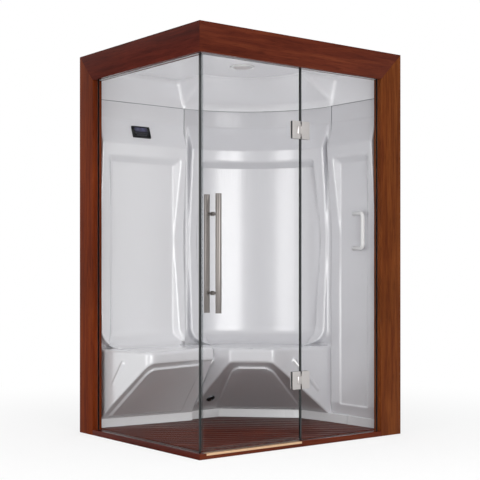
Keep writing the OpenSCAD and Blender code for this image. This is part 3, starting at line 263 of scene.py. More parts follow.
# Hot-dip galvanised steel: crystal flakes of slightly different greys
def spangle():
    flakeWidth = 11.1
    material, tree = newMaterial("galvanised_steel")
    flakes = addNode(tree, "ShaderNodeTexVoronoi", {
        "Vector": objectSpace(tree), "Scale": 1000 / flakeWidth})
    tone = addNode(tree, "ShaderNodeValToRGB", {"Fac": flakes.outputs["Color"]},
                   [(0.2, "#8d9297"), (0.8, "#b4b9bd")])
    gloss = addNode(tree, "ShaderNodeMapRange", {
        "Value": flakes.outputs["Distance"], "To Min": 0.32, "To Max": 0.55})
    shader = addNode(tree, "ShaderNodeBsdfPrincipled", {
        "Base Color": tone, "Metallic": 0.9, "Roughness": gloss})
    return finished(material, shader)


# Lit ink behind the panel's glass: a dim glow that is a little uneven
def glow(name, code, strength):
    patchWidth = 16.7
    material, tree = newMaterial(name)
    patch = addNode(tree, "ShaderNodeTexNoise", {
        "Vector": objectSpace(tree), "Scale": 1000 / patchWidth, "Detail": 2.0})
    light = addNode(tree, "ShaderNodeMapRange", {
        "Value": patch, "To Min": strength * 0.8, "To Max": strength * 1.2})
    shader = addNode(tree, "ShaderNodeBsdfPrincipled", {
        "Base Color": linear(code), "Emission Color": linear(code), "Roughness": 0.3,
        "Emission Strength": light})
    return finished(material, shader)


look = {
    # The four mahogany copies are one timber with grain along their own axes; their different tones are
    # painted light and shade, standing in for how the lamps light the front faces, the side faces and each
    # post.
    "woodX": wood("mahogany_along_front", "x", "#4a1b11", "#602919", "#6f3520", 0.75, 0.42),
    "woodY": wood("mahogany_along_side", "y", "#41160f", "#552017", "#62291c", 0.75, 0.42),
    "woodZ": wood("mahogany_upright", "z", "#55240f", "#6e3818", "#7e4520", 0.5, 0.42),
    "woodZLeft": wood("mahogany_upright_left", "z", "#571f0d", "#6e2d12", "#7c3817", 0.5, 0.42),
    "slats": wood("duckboard_wood", "diagonal", "#3a150f", "#57271c", "#6e382a", 0.1, 0.4),
    "pine": wood("planed_pine", "y", "#b08a5a", "#c9a673", "#dcc095", 0.0, 0.6),
    # One gloss acrylic in three tones: the back wall's and the ceiling's are set lighter and the corner and
    # side walls' darker, as painted light and shade that stands in for how the lamps light each moulding.
    "acrylic": acrylic("gloss_acrylic", "#d2d2d6"),
    "backAcrylic": acrylic("gloss_acrylic_back_painted_lighter", "#e4e4e7"),
    "coverAcrylic": acrylic("gloss_acrylic_ceiling_painted_lighter", "#ebebee"),
    "trayAcrylic": acrylic("tray_acrylic", "#dcdcde", 0.24),
    "whitePlastic": plastic("white_abs_plastic", "#e8e8e8", 0.18),
    "blackPlastic": plastic("black_plastic", "#0a0a0c", 0.4, level=0.1),
    "panelGlass": plastic("black_panel_glass", "#040406", 0.2, 33.3, 0.00001, 0.02),
    "rubber": plastic("grey_rubber", "#2d3338", 0.55),
    "seamSeal": plastic("grey_seam_sealant", "#7d8286", 0.5),
    "clearSeal": stripSeal(),
    "glazingSeal": glazingSeal(),
    "darkSeal": plastic("dark_strip_seal", "#14181a", 0.3),
    # Brushed nickel in two tones: the handles' copy is set darker than the plates' as painted shade, standing
    # in for the darker reflections the handles show.
    "steel": metal("brushed_nickel", "#7f7a77", 0.27, "z"),
    "steelAcross": metal("brushed_nickel_plate", "#bdb9b7", 0.3, "x"),
    "chrome": metal("polished_chrome", "#d4d4d6", 0.06),
    "darkChrome": metal("dark_chrome", "#5c5c60", 0.12),
    "strip": metal("champagne_anodised", "#d9b490", 0.3, "x"),
    "zinc": spangle(),
    "case": metal("stainless_sheet", "#c2c2c4", 0.25, "x"),
    "copper": metal("copper_tube", "#b87350", 0.28),
    "brass": metal("turned_brass", "#c9a257", 0.25),
    "glass": paneGlass(),
    "glassEdge": plastic("ground_glass_edge", "#10181a", 0.12),
    "lens": frostedLens(),
}
print("materials made")

# Pieces made from the CAD nodes: each one's material and the width in mm of its broken edges

refined = {
    "front_fascia": ("woodX", 1.6), "left_fascia": ("woodY", 1.6),
    "right_post": ("woodZ", 1.6), "rear_post": ("woodZLeft", 1.6),
    "front_sill": ("woodX", 1.2), "left_sill": ("woodY", 1.2),
    "threshold_strip": ("strip", 0.4), "floor_tray": ("trayAcrylic", 2.5),
    "drain_body": ("chrome", 0.4), "drain_grate": ("chrome", 0.4),
    "duckboard_slats": ("slats", 1.8), "duckboard_battens": ("slats", 1.0),
    "ceiling_seal": ("seamSeal", 0), "module_seals": ("seamSeal", 0),
    "roof_battens": ("pine", 1.0), "rear_corner_post": ("zinc", 1.5),
    "rear_rails": ("zinc", 1.5), "side_rails": ("zinc", 1.5),
    "left_glass_seal": ("glazingSeal", 0.3), "front_glass_seal": ("glazingSeal", 0.3),
    "corner_seal": ("darkSeal", 0.2), "hinge_side_seal": ("darkSeal", 0.2),
    "upper_fixed_leaf": ("steelAcross", 0.8), "lower_fixed_leaf": ("steelAcross", 0.8),
    "fixed_leaf_clamps": ("steelAcross", 0.8), "fixed_leaf_pads": ("rubber", 0),
    "fixed_leaf_screws": ("steel", 0.3), "control_panel_case": ("blackPlastic", 1.0),
    "control_panel_glass": ("panelGlass", 0.5), "grab_handle": ("whitePlastic", 1.5),
    "grab_handle_screws": ("chrome", 0.3), "steam_outlet": ("darkChrome", 0.5),
    "steam_pipe": ("copper", 0.4), "steam_generator": ("case", 1.5),
    "water_inlet": ("brass", 0.4), "cable_gland": ("blackPlastic", 0.4),
    "lamp_ring": ("whitePlastic", 0.6), "lamp_lens": ("lens", 0.8),
    "door_edge_seal": ("clearSeal", 0.2), "door_sweep": ("clearSeal", 0.2),
    "upper_door_leaf": ("steelAcross", 0.8), "lower_door_leaf": ("steelAcross", 0.8),
    "door_leaf_clamps": ("steelAcross", 0.8), "door_leaf_pads": ("rubber", 0),
    "door_leaf_screws": ("steel", 0.3), "hinge_pins": ("steel", 0.3),
    "outer_handle": ("steel", 0.6), "inner_handle": ("steel", 0.6),
    "handle_standoffs": ("steel", 0.4), "handle_bolts": ("steel", 0.3),
}


# The node's form with its loose triangles joined
def merged(node):
    form = bmesh.new()
    form.from_mesh(nodes[node].data)
    bmesh.ops.remove_doubles(form, verts=form.verts, dist=mergeGap)
    return form


# The node's mesh with its flat faces whole, flat being the angle in degrees that still counts as none
def welded(node, flat=0.6):
    form = merged(node)
    bmesh.ops.dissolve_limit(form, angle_limit=math.radians(flat), verts=form.verts, edges=form.edges)
    mesh = bpy.data.meshes.new(node + "_look")
    form.to_mesh(mesh)
    form.free()
    return mesh


# A piece in the scene, with the body it rides on and the nodes it stands for
def addPiece(name, mesh, materials, body, replaced=()):
    piece = bpy.data.objects.new(name, mesh)
    scene.collection.objects.link(piece)
    mesh.materials.clear()
    for material in materials:
        mesh.materials.append(material)
    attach(piece, body)
    if replaced:
        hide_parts(*replaced)
    return piece


# Breaks the edges by a width in mm, or only marks the sharp ones where that is 0
def soften(piece, width, segments=2, angle=32):
    piece.data.shade_smooth()
    if width:
        bevel = piece.modifiers.new("edges", "BEVEL")
        bevel.width = width / 1000
        bevel.segments = segments
        bevel.limit_method = "ANGLE"
        bevel.angle_limit = math.radians(angle)
        bevel.harden_normals = True
    else:
        piece.data.set_sharp_from_angle(angle=math.radians(angle))


for node, (key, width) in refined.items():
    piece = addPiece(node + "_look", welded(node), [look[key]], bodyOf[node], [node])
    soften(piece, width)
print("refined nodes made")

# Glass panes: clear faces and ground edges


def pane(node, across):
    mesh = welded(node)
    materials = [look["glass"], look["glassEdge"]]
    addPiece(node + "_look", mesh, materials, bodyOf[node], [node])
    for face in mesh.polygons:
        face.material_index = 0 if abs(face.normal[across]) > 0.9 else 1


for node, across in (("left_glass", 0), ("front_glass", 1), ("door_glass", 1)):
    pane(node, across)
print("panes made")

# Repeated small pieces: a Geometry Nodes tree makes one, and sets it on every point along its axis


# A new tree that takes the points and the named sizes
def startTree(name, sizes):
    tree = bpy.data.node_groups.new(name, "GeometryNodeTree")
    tree.interface.new_socket("Geometry", in_out="INPUT", socket_type="NodeSocketGeometry")
    for label in sizes:
        tree.interface.new_socket(label, in_out="INPUT", socket_type="NodeSocketFloat")
    tree.interface.new_socket("Geometry", in_out="OUTPUT", socket_type="NodeSocketGeometry")
    return tree, addNode(tree, "NodeGroupInput").outputs


# Sets the single piece on every point, turned to the point's axis
def finishTree(tree, given, single, material):
    axis = addNode(tree, "GeometryNodeInputNamedAttribute", {"Name": "axis"}, data_type="FLOAT_VECTOR")
    turn = addNode(tree, "FunctionNodeAlignRotationToVector", {"Vector": axis}, axis="Z")
    copies = addNode(tree, "GeometryNodeInstanceOnPoints", {
        "Points": given["Geometry"], "Instance": single, "Rotation": turn})
    real = addNode(tree, "GeometryNodeRealizeInstances", {"Geometry": copies})
    coated = addNode(tree, "GeometryNodeSetMaterial", {"Geometry": real, "Material": material})
    addNode(tree, "NodeGroupOutput", {"Geometry": coated})


# The tree's piece on each point, as a plain mesh; sizes in mm
def repeated(name, tree, sizes, points, axes):
    mesh = bpy.data.meshes.new(name + "_points")
    mesh.from_pydata([tuple(p) for p in points], [], [])
    directions = mesh.attributes.new("axis", "FLOAT_VECTOR", "POINT").data
    directions.foreach_set("vector", np.array(axes, float).ravel())
    holder = bpy.data.objects.new(name + "_points", mesh)
    scene.collection.objects.link(holder)
    layer = holder.modifiers.new("copies", "NODES")
    layer.node_group = tree
    for item in tree.interface.items_tree:
        if item.in_out == "INPUT" and item.name in sizes:
            layer[item.identifier] = sizes[item.name] / 1000
    ready = holder.evaluated_get(bpy.context.evaluated_depsgraph_get())
    result = bpy.data.meshes.new_from_object(ready)
    bpy.data.objects.remove(holder)
    result.name = name
    return result


# A low round head with a broken edge and a drive recess, drawn up from a disc
def panHeadTree(sizes, material):
    tree, given = startTree("pan_head_screw", sizes)
    radius, edge = given["Head Radius"], given["Edge"]
    rim = addNode(tree, "ShaderNodeMath", {0: radius, 1: edge}, operation="SUBTRACT")
    side = addNode(tree, "ShaderNodeMath", {0: given["Head Height"], 1: edge}, operation="SUBTRACT")
    drawnIn = addNode(tree, "ShaderNodeMath", {0: rim, 1: radius}, operation="DIVIDE")
    bore = addNode(tree, "ShaderNodeMath", {0: given["Recess Radius"], 1: rim}, operation="DIVIDE")
    sink = addNode(tree, "ShaderNodeMath", {0: given["Recess Depth"], 1: -1.0}, operation="MULTIPLY")
    disc = addNode(tree, "GeometryNodeMeshCircle", {"Vertices": 24, "Radius": radius}, fill_type="NGON")
    form, top = disc, True
    for rise, share in ((side, 1.0), (edge, drawnIn), (0.0, bore), (sink, 1.0)):
        raised = addNode(tree, "GeometryNodeExtrudeMesh", {
            "Mesh": form, "Selection": top, "Offset Scale": rise, "Individual": False})
        shrunk = addNode(tree, "GeometryNodeScaleElements", {
            "Geometry": raised.outputs["Mesh"], "Selection": raised.outputs["Top"], "Scale": share})
        form, top = shrunk, raised.outputs["Top"]
    seat = addNode(tree, "GeometryNodeFlipFaces", {"Mesh": disc})
    both = addNode(tree, "GeometryNodeJoinGeometry", {0: form})
    tree.links.new(seat.outputs[0], both.inputs[0])
    whole = addNode(tree, "GeometryNodeMergeByDistance", {"Geometry": both, "Distance": mergeGap / 2})
    finishTree(tree, given, whole, material)
    return tree


# A flat mark with round corners
def markTree(sizes, material):
    tree, given = startTree("key_mark", sizes)
    outline = addNode(tree, "GeometryNodeCurvePrimitiveQuadrilateral", {
        "Width": given["Width"], "Height": given["Height"]})
    soft = addNode(tree, "GeometryNodeFilletCurve", {
        "Curve": outline, "Radius": given["Corner"], "Count": 4}, mode="POLY")
    flat = addNode(tree, "GeometryNodeFillCurve", {"Curve": soft}, mode="NGONS")
    finishTree(tree, given, flat, material)
    return tree


# Middle and size in metres of each solid in a node
def looseParts(node):
    form = merged(node)
    found, left = [], set(form.verts)
    while left:
        stack, solid = [left.pop()], []
        while stack:
            corner = stack.pop()
            solid.append(corner.co.copy())
            near = {edge.other_vert(corner) for edge in corner.link_edges} & left
            left -= near
            stack += near
        low = Vector([min(c[i] for c in solid) for i in range(3)])
        high = Vector([max(c[i] for c in solid) for i in range(3)])
        found.append(((low + high) / 2, high - low))
    form.free()
    return sorted(found, key=lambda part: tuple(part[0]))


coverScrew = {"Head Radius": 5.0, "Head Height": 3.0, "Edge": 0.9, "Recess Radius": 2.4, "Recess Depth": 1.6}
feet, axes = [], []
for middle, size in looseParts("cover_screws"):
    thin = min(range(3), key=lambda i: size[i])
    axis = Vector([1.0 if i == thin else 0.0 for i in range(3)])
    feet.append(middle - axis * size[thin] / 2)
    axes.append(axis)
zinc = look["zinc"]
screwMesh = repeated("cover_screws_look", panHeadTree(coverScrew, zinc), coverScrew, feet, axes)
screws = addPiece("cover_screws_look", screwMesh, [zinc], "cabin", ["cover_screws"])
soften(screws, 0)
print("cover screws made")

# What the moulded walls share, in mm: planes and heights, and how far pads and recesses stand out of them
wall = {
    "s": 1340.0, "t": 1128.0, "radius": 650.0, "low": 80.0, "top": 1952.0, "sheet": 5.0, "flange": 38.0,
    "frameIn": 60.3, "seamS": 696.0, "seamT": 484.0, "seatZ": 492.0, "rim": 22.0,
    "head": 50.0, "bandLow": 1700.0, "bandTop": 1840.0,
    "swell": (16.0, 1020.0), "waist": [(11.0, 1140.0), (17.0, 1250.0)],  # out of the wall and up
    "foot": 36.0, "fillet": 110.0, "padCorner": 95.0, "floor": 5.0, "recessTop": 1636.0,
    "fieldRelief": 12.0, "fieldEdge": (-4.0, 10.0), "fieldCorner": 45.0,
}

# Control panel's display, digits and key marks, just over its glass

panel = {
    "along": 363.0, "down": 0.45,  # its middle: mm along the wall, and the share of the sloping band above it
    "lift": 0.15, "inkLift": 0.1, "corner": 0.2,  # marks over the glass, digits over the display, round share
    "display": (-2, 15, 88, 27),  # middle along, middle up, width and height
    "numbers": (("42", -30), ("20", 8)), "numbersUp": 15,
    "digit": 6.5, "digitPitch": 1.5, "stroke": 0.24,  # a digit's width, and the shares of it
    "keyRows": ((-8.5, 40), (-22, 30)), "keyPitch": 20,  # each row's height and its reach to both sides
}
keyMark = {"Width": 5.0, "Height": 4.0, "Corner": 1.2}
digitBars = {"0": "abcdef", "2": "abged", "4": "fgbc"}
barPlaces = {  # middle across and up in half digits, and whether the bar lies flat
    "a": (0, 2, 1), "b": (1, 1, 0), "c": (1, -1, 0), "d": (0, -2, 1), "e": (-1, -1, 0), "f": (-1, 1, 0),
    "g": (0, 0, 1),
}
bandHeight = wall["bandTop"] - wall["bandLow"]
bandTilt = math.atan2(wall["head"], bandHeight)
upAlong = np.array([0, math.sin(bandTilt), math.cos(bandTilt)])
outward = np.array([0, -math.cos(bandTilt), math.sin(bandTilt)])
panelMid = np.array([
    panel["along"], wall["t"] - wall["head"] * panel["down"], wall["bandTop"] - bandHeight * panel["down"]])
glassCorners = np.array([v.co for v in nodes["control_panel_glass"].data.vertices]) * 1000 + planMid
panelLift = max((glassCorners - panelMid) @ outward) + panel["lift"]


def onPanel(x, up, lift=0.0):
    return panelMid + [x, 0, 0] + upAlong * up + outward * (panelLift + lift)


# Flat marks with round corners: each is its middle along and up, its width and its height
def panelMarks(name, boxes, material, lift=0.0):
    verts, faces = [], []
    for x, up, w, h in boxes:
        r = min(w, h) * panel["corner"]
        faces.append(tuple(range(len(verts), len(verts) + 12)))
        for corner, (right, above) in enumerate(((1, 1), (1, -1), (-1, -1), (-1, 1))):
            for k in range(3):
                turn = math.radians(90 - 90 * corner - 45 * k)
                acrossTo = x + right * (w / 2 - r) + r * math.cos(turn)
                upTo = up + above * (h / 2 - r) + r * math.sin(turn)
                verts.append(onPanel(acrossTo, upTo, lift))
    mesh = bpy.data.meshes.new(name)
    mesh.from_pydata(place(verts).tolist(), [], faces)
    mesh.update()
    addPiece(name, mesh, [material], "cabin")


# The lit bars of a number's digits
def digitBoxes(text, x, up):
    size, stroke = panel["digit"], panel["digit"] * panel["stroke"]
    boxes = []
    for i, sign in enumerate(text):
        for bar in digitBars[sign]:
            dx, dy, flat = barPlaces[bar]
            middle = x + i * size * panel["digitPitch"] + dx * size / 2
            boxes.append((middle, up + dy * size / 2, size if flat else stroke, stroke if flat else size))
    return boxes


panelMarks("panel_display", [panel["display"]], glow("display_backlight", "#2c2a46", 0.12))
digits = [box for text, x in panel["numbers"] for box in digitBoxes(text, x, panel["numbersUp"])]
panelMarks("panel_digits", digits, glow("display_digits", "#5c5e88", 0.3), panel["inkLift"])
keyInk = glow("key_marks", "#8c8c98", 0.45)
keys = [onPanel(x, up) for up, reach in panel["keyRows"] for x in range(-reach, reach + 1, panel["keyPitch"])]
keyMesh = repeated("panel_keys", markTree(keyMark, keyInk), keyMark, place(keys), [outward] * len(keys))
addPiece("panel_keys", keyMesh, [keyInk], "cabin")
print("panel marks made")

# Moulded walls: each is a distance field in cabin mm, below zero inside the material


# Joins two fields with a hollow round of radius r between them
def roundUnion(a, b, r):
    return np.maximum(r, np.minimum(a, b)) - np.hypot(np.maximum(r - a, 0), np.maximum(r - b, 0))


# Keeps what two fields share, with its edge rounded by r
def roundMeet(a, b, r):
    return np.minimum(-r, np.maximum(a, b)) + np.hypot(np.maximum(r + a, 0), np.maximum(r + b, 0))


# Signed distance to a closed outline, below zero inside
def outlineDist(u, v, points):
    points = np.asarray(points, float)
    best, odd = None, None
    for a, b in zip(points, np.roll(points, 1, axis=0)):
        e = b - a
        wu, wv = u - a[0], v - a[1]
        t = np.clip((wu * e[0] + wv * e[1]) / (e @ e), 0, 1)
        d = (wu - e[0] * t) ** 2 + (wv - e[1] * t) ** 2
        c1, c2, c3 = v >= a[1], v < b[1], e[0] * wv > e[1] * wu
        flips = (c1 & c2 & c3) | ~(c1 | c2 | c3)
        best = d if best is None else np.minimum(best, d)
        odd = flips if odd is None else odd ^ flips
    return np.where(odd, -1.0, 1.0) * np.sqrt(best)


# Points of an arc from angle a0 to a1 in n steps
def arc(cu, cv, r, a0, a1, n):
    return [(cu + r * math.cos(math.radians(a0 + (a1 - a0) * i / n)),
             cv + r * math.sin(math.radians(a0 + (a1 - a0) * i / n))) for i in range(n + 1)]


# Distance function of the plane through three corners, below zero towards the point inside
def slopeDist(corners, inside):
    a, b, c = [np.array(p, float) for p in corners]
    n = np.cross(b - a, c - a)
    n /= np.linalg.norm(n)
    if n @ (np.array(inside, float) - a) > 0:
        n = -n
    return lambda s, t, z: (s - a[0]) * n[0] + (t - a[1]) * n[1] + (z - a[2]) * n[2]


# Points of a round corner of radius r at b, between a and c
def roundedCorner(a, b, c, r, n=6):
    a, b, c = (np.array(p, float) for p in (a, b, c))
    u, v = (a - b) / np.linalg.norm(a - b), (c - b) / np.linalg.norm(c - b)
    half = math.acos(u @ v) / 2
    mid = b + (u + v) / np.linalg.norm(u + v) * r / math.sin(half)
    p, q = b + u * r / math.tan(half) - mid, b + v * r / math.tan(half) - mid
    a0 = math.degrees(math.atan2(p[1], p[0]))
    turn = math.degrees(math.atan2(p[0] * q[1] - p[1] * q[0], p @ q))
    return arc(mid[0], mid[1], r, a0, a0 + turn, n)


# Distance to a tapering round bar between two points
def ridgeDist(s, t, z, start, end, r0, r1):
    a, b = np.array(start, float), np.array(end, float)
    e = b - a
    k = np.clip(((s - a[0]) * e[0] + (t - a[1]) * e[1] + (z - a[2]) * e[2]) / (e @ e), 0, 1)
    away = (s - a[0] - e[0] * k) ** 2 + (t - a[1] - e[1] * k) ** 2 + (z - a[2] - e[2] * k) ** 2
    return np.sqrt(away) - (r0 + (r1 - r0) * k)


# Runs smoothly from 0 at low to 1 at high
def ease(low, high, value):
    k = np.clip((value - low) / (high - low), 0, 1)
    return k * k * (3 - 2 * k)


centre = (wall["s"] - wall["radius"], wall["t"] - wall["radius"])
behind, past, beyond = 60, 260, (1500, 1300)  # how far outlines run on into the wall, the room and the corner
rounds = {"sheet": 4, "pad": 10, "padFoot": 16, "seatFoot": 14, "recess": 9, "mouth": 7, "rib": 8, "notch": 5,
          "kick": 8}
padHead = wall["waist"] + [(wall["head"], wall["bandLow"]), (0, wall["bandTop"]), (-behind, wall["bandTop"])]
padLine = (
    [(-behind, wall["seatZ"] - behind), (wall["foot"] + wall["fillet"], wall["seatZ"] - behind)]
    + arc(wall["foot"] + wall["fillet"], wall["seatZ"] + wall["fillet"], wall["fillet"], 270, 180, 10)
    + [wall["swell"]] + padHead
)
recessHead = [
    (past, wall["recessTop"] + past - wall["head"]), (wall["head"], wall["recessTop"]),
    (wall["floor"], wall["recessTop"] - wall["head"] + wall["floor"]),
]
recessLine = (
    recessHead
    + arc(wall["floor"] + wall["fillet"], wall["seatZ"] + wall["fillet"], wall["fillet"], 180, 270, 10)
    + [(past, wall["seatZ"])]
)


# How far a pad's side edge draws in where it curves into the seat
def cornerInset(z):
    r = wall["padCorner"]
    rise = np.clip(z - wall["seatZ"], 0, r)
    return r - np.sqrt(np.maximum(r * r - (r - rise) ** 2, 0))


# Back module: ridges and the notch are start, end and their two radii; the kick's corners run left to right
backWall = {
    "seam": 694.5, "padEnds": (84, 686),
    "seatBack": [(694.5, 819), (694.5, 1300), (84, 1300), (84, 978)],
    "seatNose": ((84, 978), (122, 642), (694.5, 819), 42),  # the round corner between the seat's two fronts
    "recess": [(168, 1123), (124, 1078), (124, 700), (648, 700), (648, 1078), (604, 1123)],
    "rib": ((100, 876, 418), (92, 968, 298), 15, 9),
    "lobe": ((680, 826, 450), (681, 832, 408), 14, 11), "lobeFoot": 7,
    "notch": ((392, 769, 496), (415, 700, 492), 7, 9),
    "kickTop": ((120, 639, 432), (692, 814, 414)), "kickFoot": ((74, 1106, 79), (692, 1037, 79)),
    "kickSquare": 0.66,  # share of the run that is square to the slanted face
    "field": (0.07, 0.86), "fieldSpan": 560, "fieldTop": 0.1, "fieldFoot": (0.94, 0.97),
}


def backForm(s, t, z):
    q = wall["t"] - t
    ends = roundMeet(wall["frameIn"] - s, s - backWall["seam"], 1)
    sheet = roundMeet(roundMeet(q, ends, rounds["sheet"]), z - wall["top"], rounds["sheet"])
    tuck = cornerInset(z)
    left, right = backWall["padEnds"]
    padSides = np.maximum(left + tuck - s, s + tuck - right)
    pad = roundMeet(outlineDist(q, z, padLine), padSides, rounds["pad"])
    seatPlan = outlineDist(s, t, backWall["seatBack"] + roundedCorner(*backWall["seatNose"]))
    seat = roundMeet(seatPlan, z - wall["seatZ"], wall["rim"])
    recess = roundMeet(outlineDist(q, z, recessLine), outlineDist(s, t, backWall["recess"]), rounds["recess"])
    form = roundUnion(roundUnion(sheet, pad, rounds["padFoot"]), seat, rounds["seatFoot"])
    form = roundMeet(form, -recess, rounds["mouth"])
    form = roundUnion(form, ridgeDist(s, t, z, *backWall["rib"]), rounds["rib"])
    form = roundUnion(form, ridgeDist(s, t, z, *backWall["lobe"]), backWall["lobeFoot"])
    form = roundMeet(form, -ridgeDist(s, t, z, *backWall["notch"]), rounds["notch"])
    (topS, topT, topZ), (endS, endT, endZ) = backWall["kickTop"]
    (footS, footT, footZ), (_, farT, _) = backWall["kickFoot"]
    height, flare = topZ - footZ, topS - footS
    # shares of the way down and along the slanted face, which runs on a little past its corners
    drop = np.clip((topZ - z) / height, -0.2, 1.0)
    along = np.clip((s - topS + flare * drop) / (endS - topS + flare * drop), -0.1, 1.1)
    face = (topT * (1 - along) + endT * along) * (1 - drop) + (footT * (1 - along) + farT * along) * drop
    run = (face - t) * backWall["kickSquare"]
    under = z - (topZ - (topZ - endZ) * along)
    fieldStart, fieldEnd = backWall["field"]
    fieldSides = np.maximum(fieldStart - along, along - fieldEnd) * backWall["fieldSpan"]
    edge = roundMeet(fieldSides, (backWall["fieldTop"] - drop) * height, wall["fieldCorner"])
    field = np.minimum(ease(*wall["fieldEdge"], -edge), 1 - ease(*backWall["fieldFoot"], drop))
    cut = roundMeet(-run + wall["fieldRelief"] * field, under, rounds["kick"])
    return roundMeet(form, -cut, rounds["kick"])


# Corner module: a curved back over a seat that is cut off square to the corner
cornerWall = {
    "seams": (697.5, 485.5), "padStart": (724, 512), "seatCut": ((697.5, 669), (880, 485.5)), "seatNose": 30,
    "recessHalf": 38, "recessFlare": 0.09,  # degrees to each side, and less per mm of depth
    "recessDepth": 60, "sideRadius": 700,
    "recess": 12, "mouth": 8, "kickSides": 14,
    "ribs": (((1043, 492, 414), (1234, 492, 231), 16, 9), ((704, 826, 414), (704, 1000, 240), 16, 9)),
    "notch": ((815, 603, 496), (773, 561, 492), 7, 9),
    "kickTop": ((694, 656, 419), (868, 482, 419)), "kickFoot": ((922, 1071, 79), (1283, 710, 79)),
    "kickWalls": ((693, 1071, 79), (1316, 481, 79)), "kickFront": (693, 481, 79),
    "fieldHalf": 277, "fieldTaper": 187, "fieldTop": 0.88, "fieldFoot": (0.02, 0.05),
}
(seamS, seamT), (cutStart, cutEnd) = cornerWall["seams"], cornerWall["seatCut"]
cornerSeat = (
    [(seamS, beyond[1])] + roundedCorner((seamS, beyond[1]), cutStart, cutEnd, cornerWall["seatNose"])
    + roundedCorner(cutStart, cutEnd, (beyond[0], seamT), cornerWall["seatNose"])
    + [(beyond[0], seamT), beyond]
)
(kickLeft, kickRight), (footLeft, footRight) = cornerWall["kickTop"], cornerWall["kickFoot"]
wallLeft, wallRight = cornerWall["kickWalls"]
kickFace = slopeDist([kickLeft, kickRight, footLeft], cornerWall["kickFront"])
kickLeftSide = slopeDist([kickLeft, footLeft, wallLeft], cornerWall["kickFront"])
kickRightSide = slopeDist([kickRight, footRight, wallRight], cornerWall["kickFront"])
kickMiddle = (kickLeft[0] - kickLeft[1] + kickRight[0] - kickRight[1]) / 2


def cornerForm(s, t, z):
    r = np.hypot(s - centre[0], t - centre[1])
    q = wall["radius"] - r
    ends = np.maximum(seamS - s, seamT - t)
    sheet = roundMeet(roundMeet(q, ends, rounds["sheet"]), z - wall["top"], rounds["sheet"])
    tuck = cornerInset(z)
    padSides = np.maximum(cornerWall["padStart"][0] + tuck - s, cornerWall["padStart"][1] + tuck - t)
    pad = roundMeet(outlineDist(q, z, padLine), padSides, rounds["pad"])
    seat = roundMeet(outlineDist(s, t, cornerSeat), z - wall["seatZ"], wall["rim"])
    angle = np.degrees(np.arctan2(t - centre[1], s - centre[0]))
    inset = np.clip(q, 0, cornerWall["recessDepth"]) * cornerWall["recessFlare"]
    turned = np.abs(angle - 45) - cornerWall["recessHalf"] + inset
    side = turned * math.pi / 180 * np.minimum(r, cornerWall["sideRadius"])
    recess = roundMeet(outlineDist(q, z, recessLine), side, cornerWall["recess"])
    form = roundUnion(roundUnion(sheet, pad, rounds["padFoot"]), seat, rounds["seatFoot"])
    form = roundMeet(form, -recess, cornerWall["mouth"])
    for rib in cornerWall["ribs"]:
        form = roundUnion(form, ridgeDist(s, t, z, *rib), rounds["rib"])
    form = roundMeet(form, -ridgeDist(s, t, z, *cornerWall["notch"]), rounds["notch"])
    across = ((s - t) - kickMiddle) / math.sqrt(2)
    height = kickLeft[2] - footLeft[2]
    rise = (z - footLeft[2]) / height
    fieldSides = np.abs(across) - cornerWall["fieldHalf"] + cornerWall["fieldTaper"] * rise
    edge = roundMeet(fieldSides, (rise - cornerWall["fieldTop"]) * height, wall["fieldCorner"])
    field = np.minimum(ease(*wall["fieldEdge"], -edge), ease(*cornerWall["fieldFoot"], rise))
    cut = kickFace(s, t, z) + wall["fieldRelief"] * field
    for plane in (kickLeftSide, kickRightSide):
        cut = roundMeet(cut, plane(s, t, z), cornerWall["kickSides"])
    return roundMeet(form, -cut, rounds["kick"])


# Side module: one tall pad with a recess, and no seat
sideWall = {
    "seam": 482.5, "padEnds": (92, 474), "padFoot": [(-60, 84), (1, 84), (14, 150), (15, 840)],
    "recessFoot": 146,
    "recess": [(1290, 120), (1335, 164), (1335, 386), (1290, 430), (900, 430), (900, 120)],
}


def sideForm(s, t, z):
    q = wall["s"] - s
    ends = np.maximum(wall["frameIn"] - t, t - sideWall["seam"])
    sheet = roundMeet(roundMeet(q, ends, rounds["sheet"]), z - wall["top"], rounds["sheet"])
    near, far = sideWall["padEnds"]
    padSides = np.maximum(near - t, t - far)
    pad = roundMeet(outlineDist(q, z, sideWall["padFoot"] + padHead), padSides, rounds["pad"])
    recessSide = [(past, sideWall["recessFoot"]), (wall["floor"], sideWall["recessFoot"])] + recessHead[::-1]
    recess = roundMeet(outlineDist(q, z, recessSide), outlineDist(s, t, sideWall["recess"]), rounds["recess"])
    return roundMeet(roundUnion(sheet, pad, rounds["padFoot"]), -recess, rounds["mouth"])


# Ceiling cover: a flat crown and a cove that slopes from it down to the curved corner
cover = {
    "low": 1954.0, "top": 2120.0, "crown": 380.0, "rise": 145.0, "reach": 270.0, "slant": 306.5,
    "coveRound": 36, "seamRound": 16, "boxRound": 30, "boxFoot": 18,
    "lean": 0.25, "square": 0.97,  # the cove's ends lean by this share of their height, and its cosine
}


def coverForm(s, t, z):
    r = np.hypot(s - centre[0], t - centre[1])
    lean = cover["lean"] * (z - cover["low"])
    slope = ((cover["crown"] - r) * cover["rise"] + (cover["top"] - z) * cover["reach"]) / cover["slant"]
    cove = np.maximum(roundUnion(wall["radius"] - r, slope, cover["coveRound"]), cover["crown"] - r)
    for seam, across in ((wall["seamS"], s), (wall["seamT"], t)):
        cove = roundMeet(cove, (seam - lean - across) * cover["square"], cover["seamRound"])
    sides = roundUnion(wall["t"] - t, wall["s"] - s, cover["boxRound"])
    return roundUnion(roundUnion(sides, cover["top"] - z, cover["boxRound"]), cove, cover["boxFoot"])


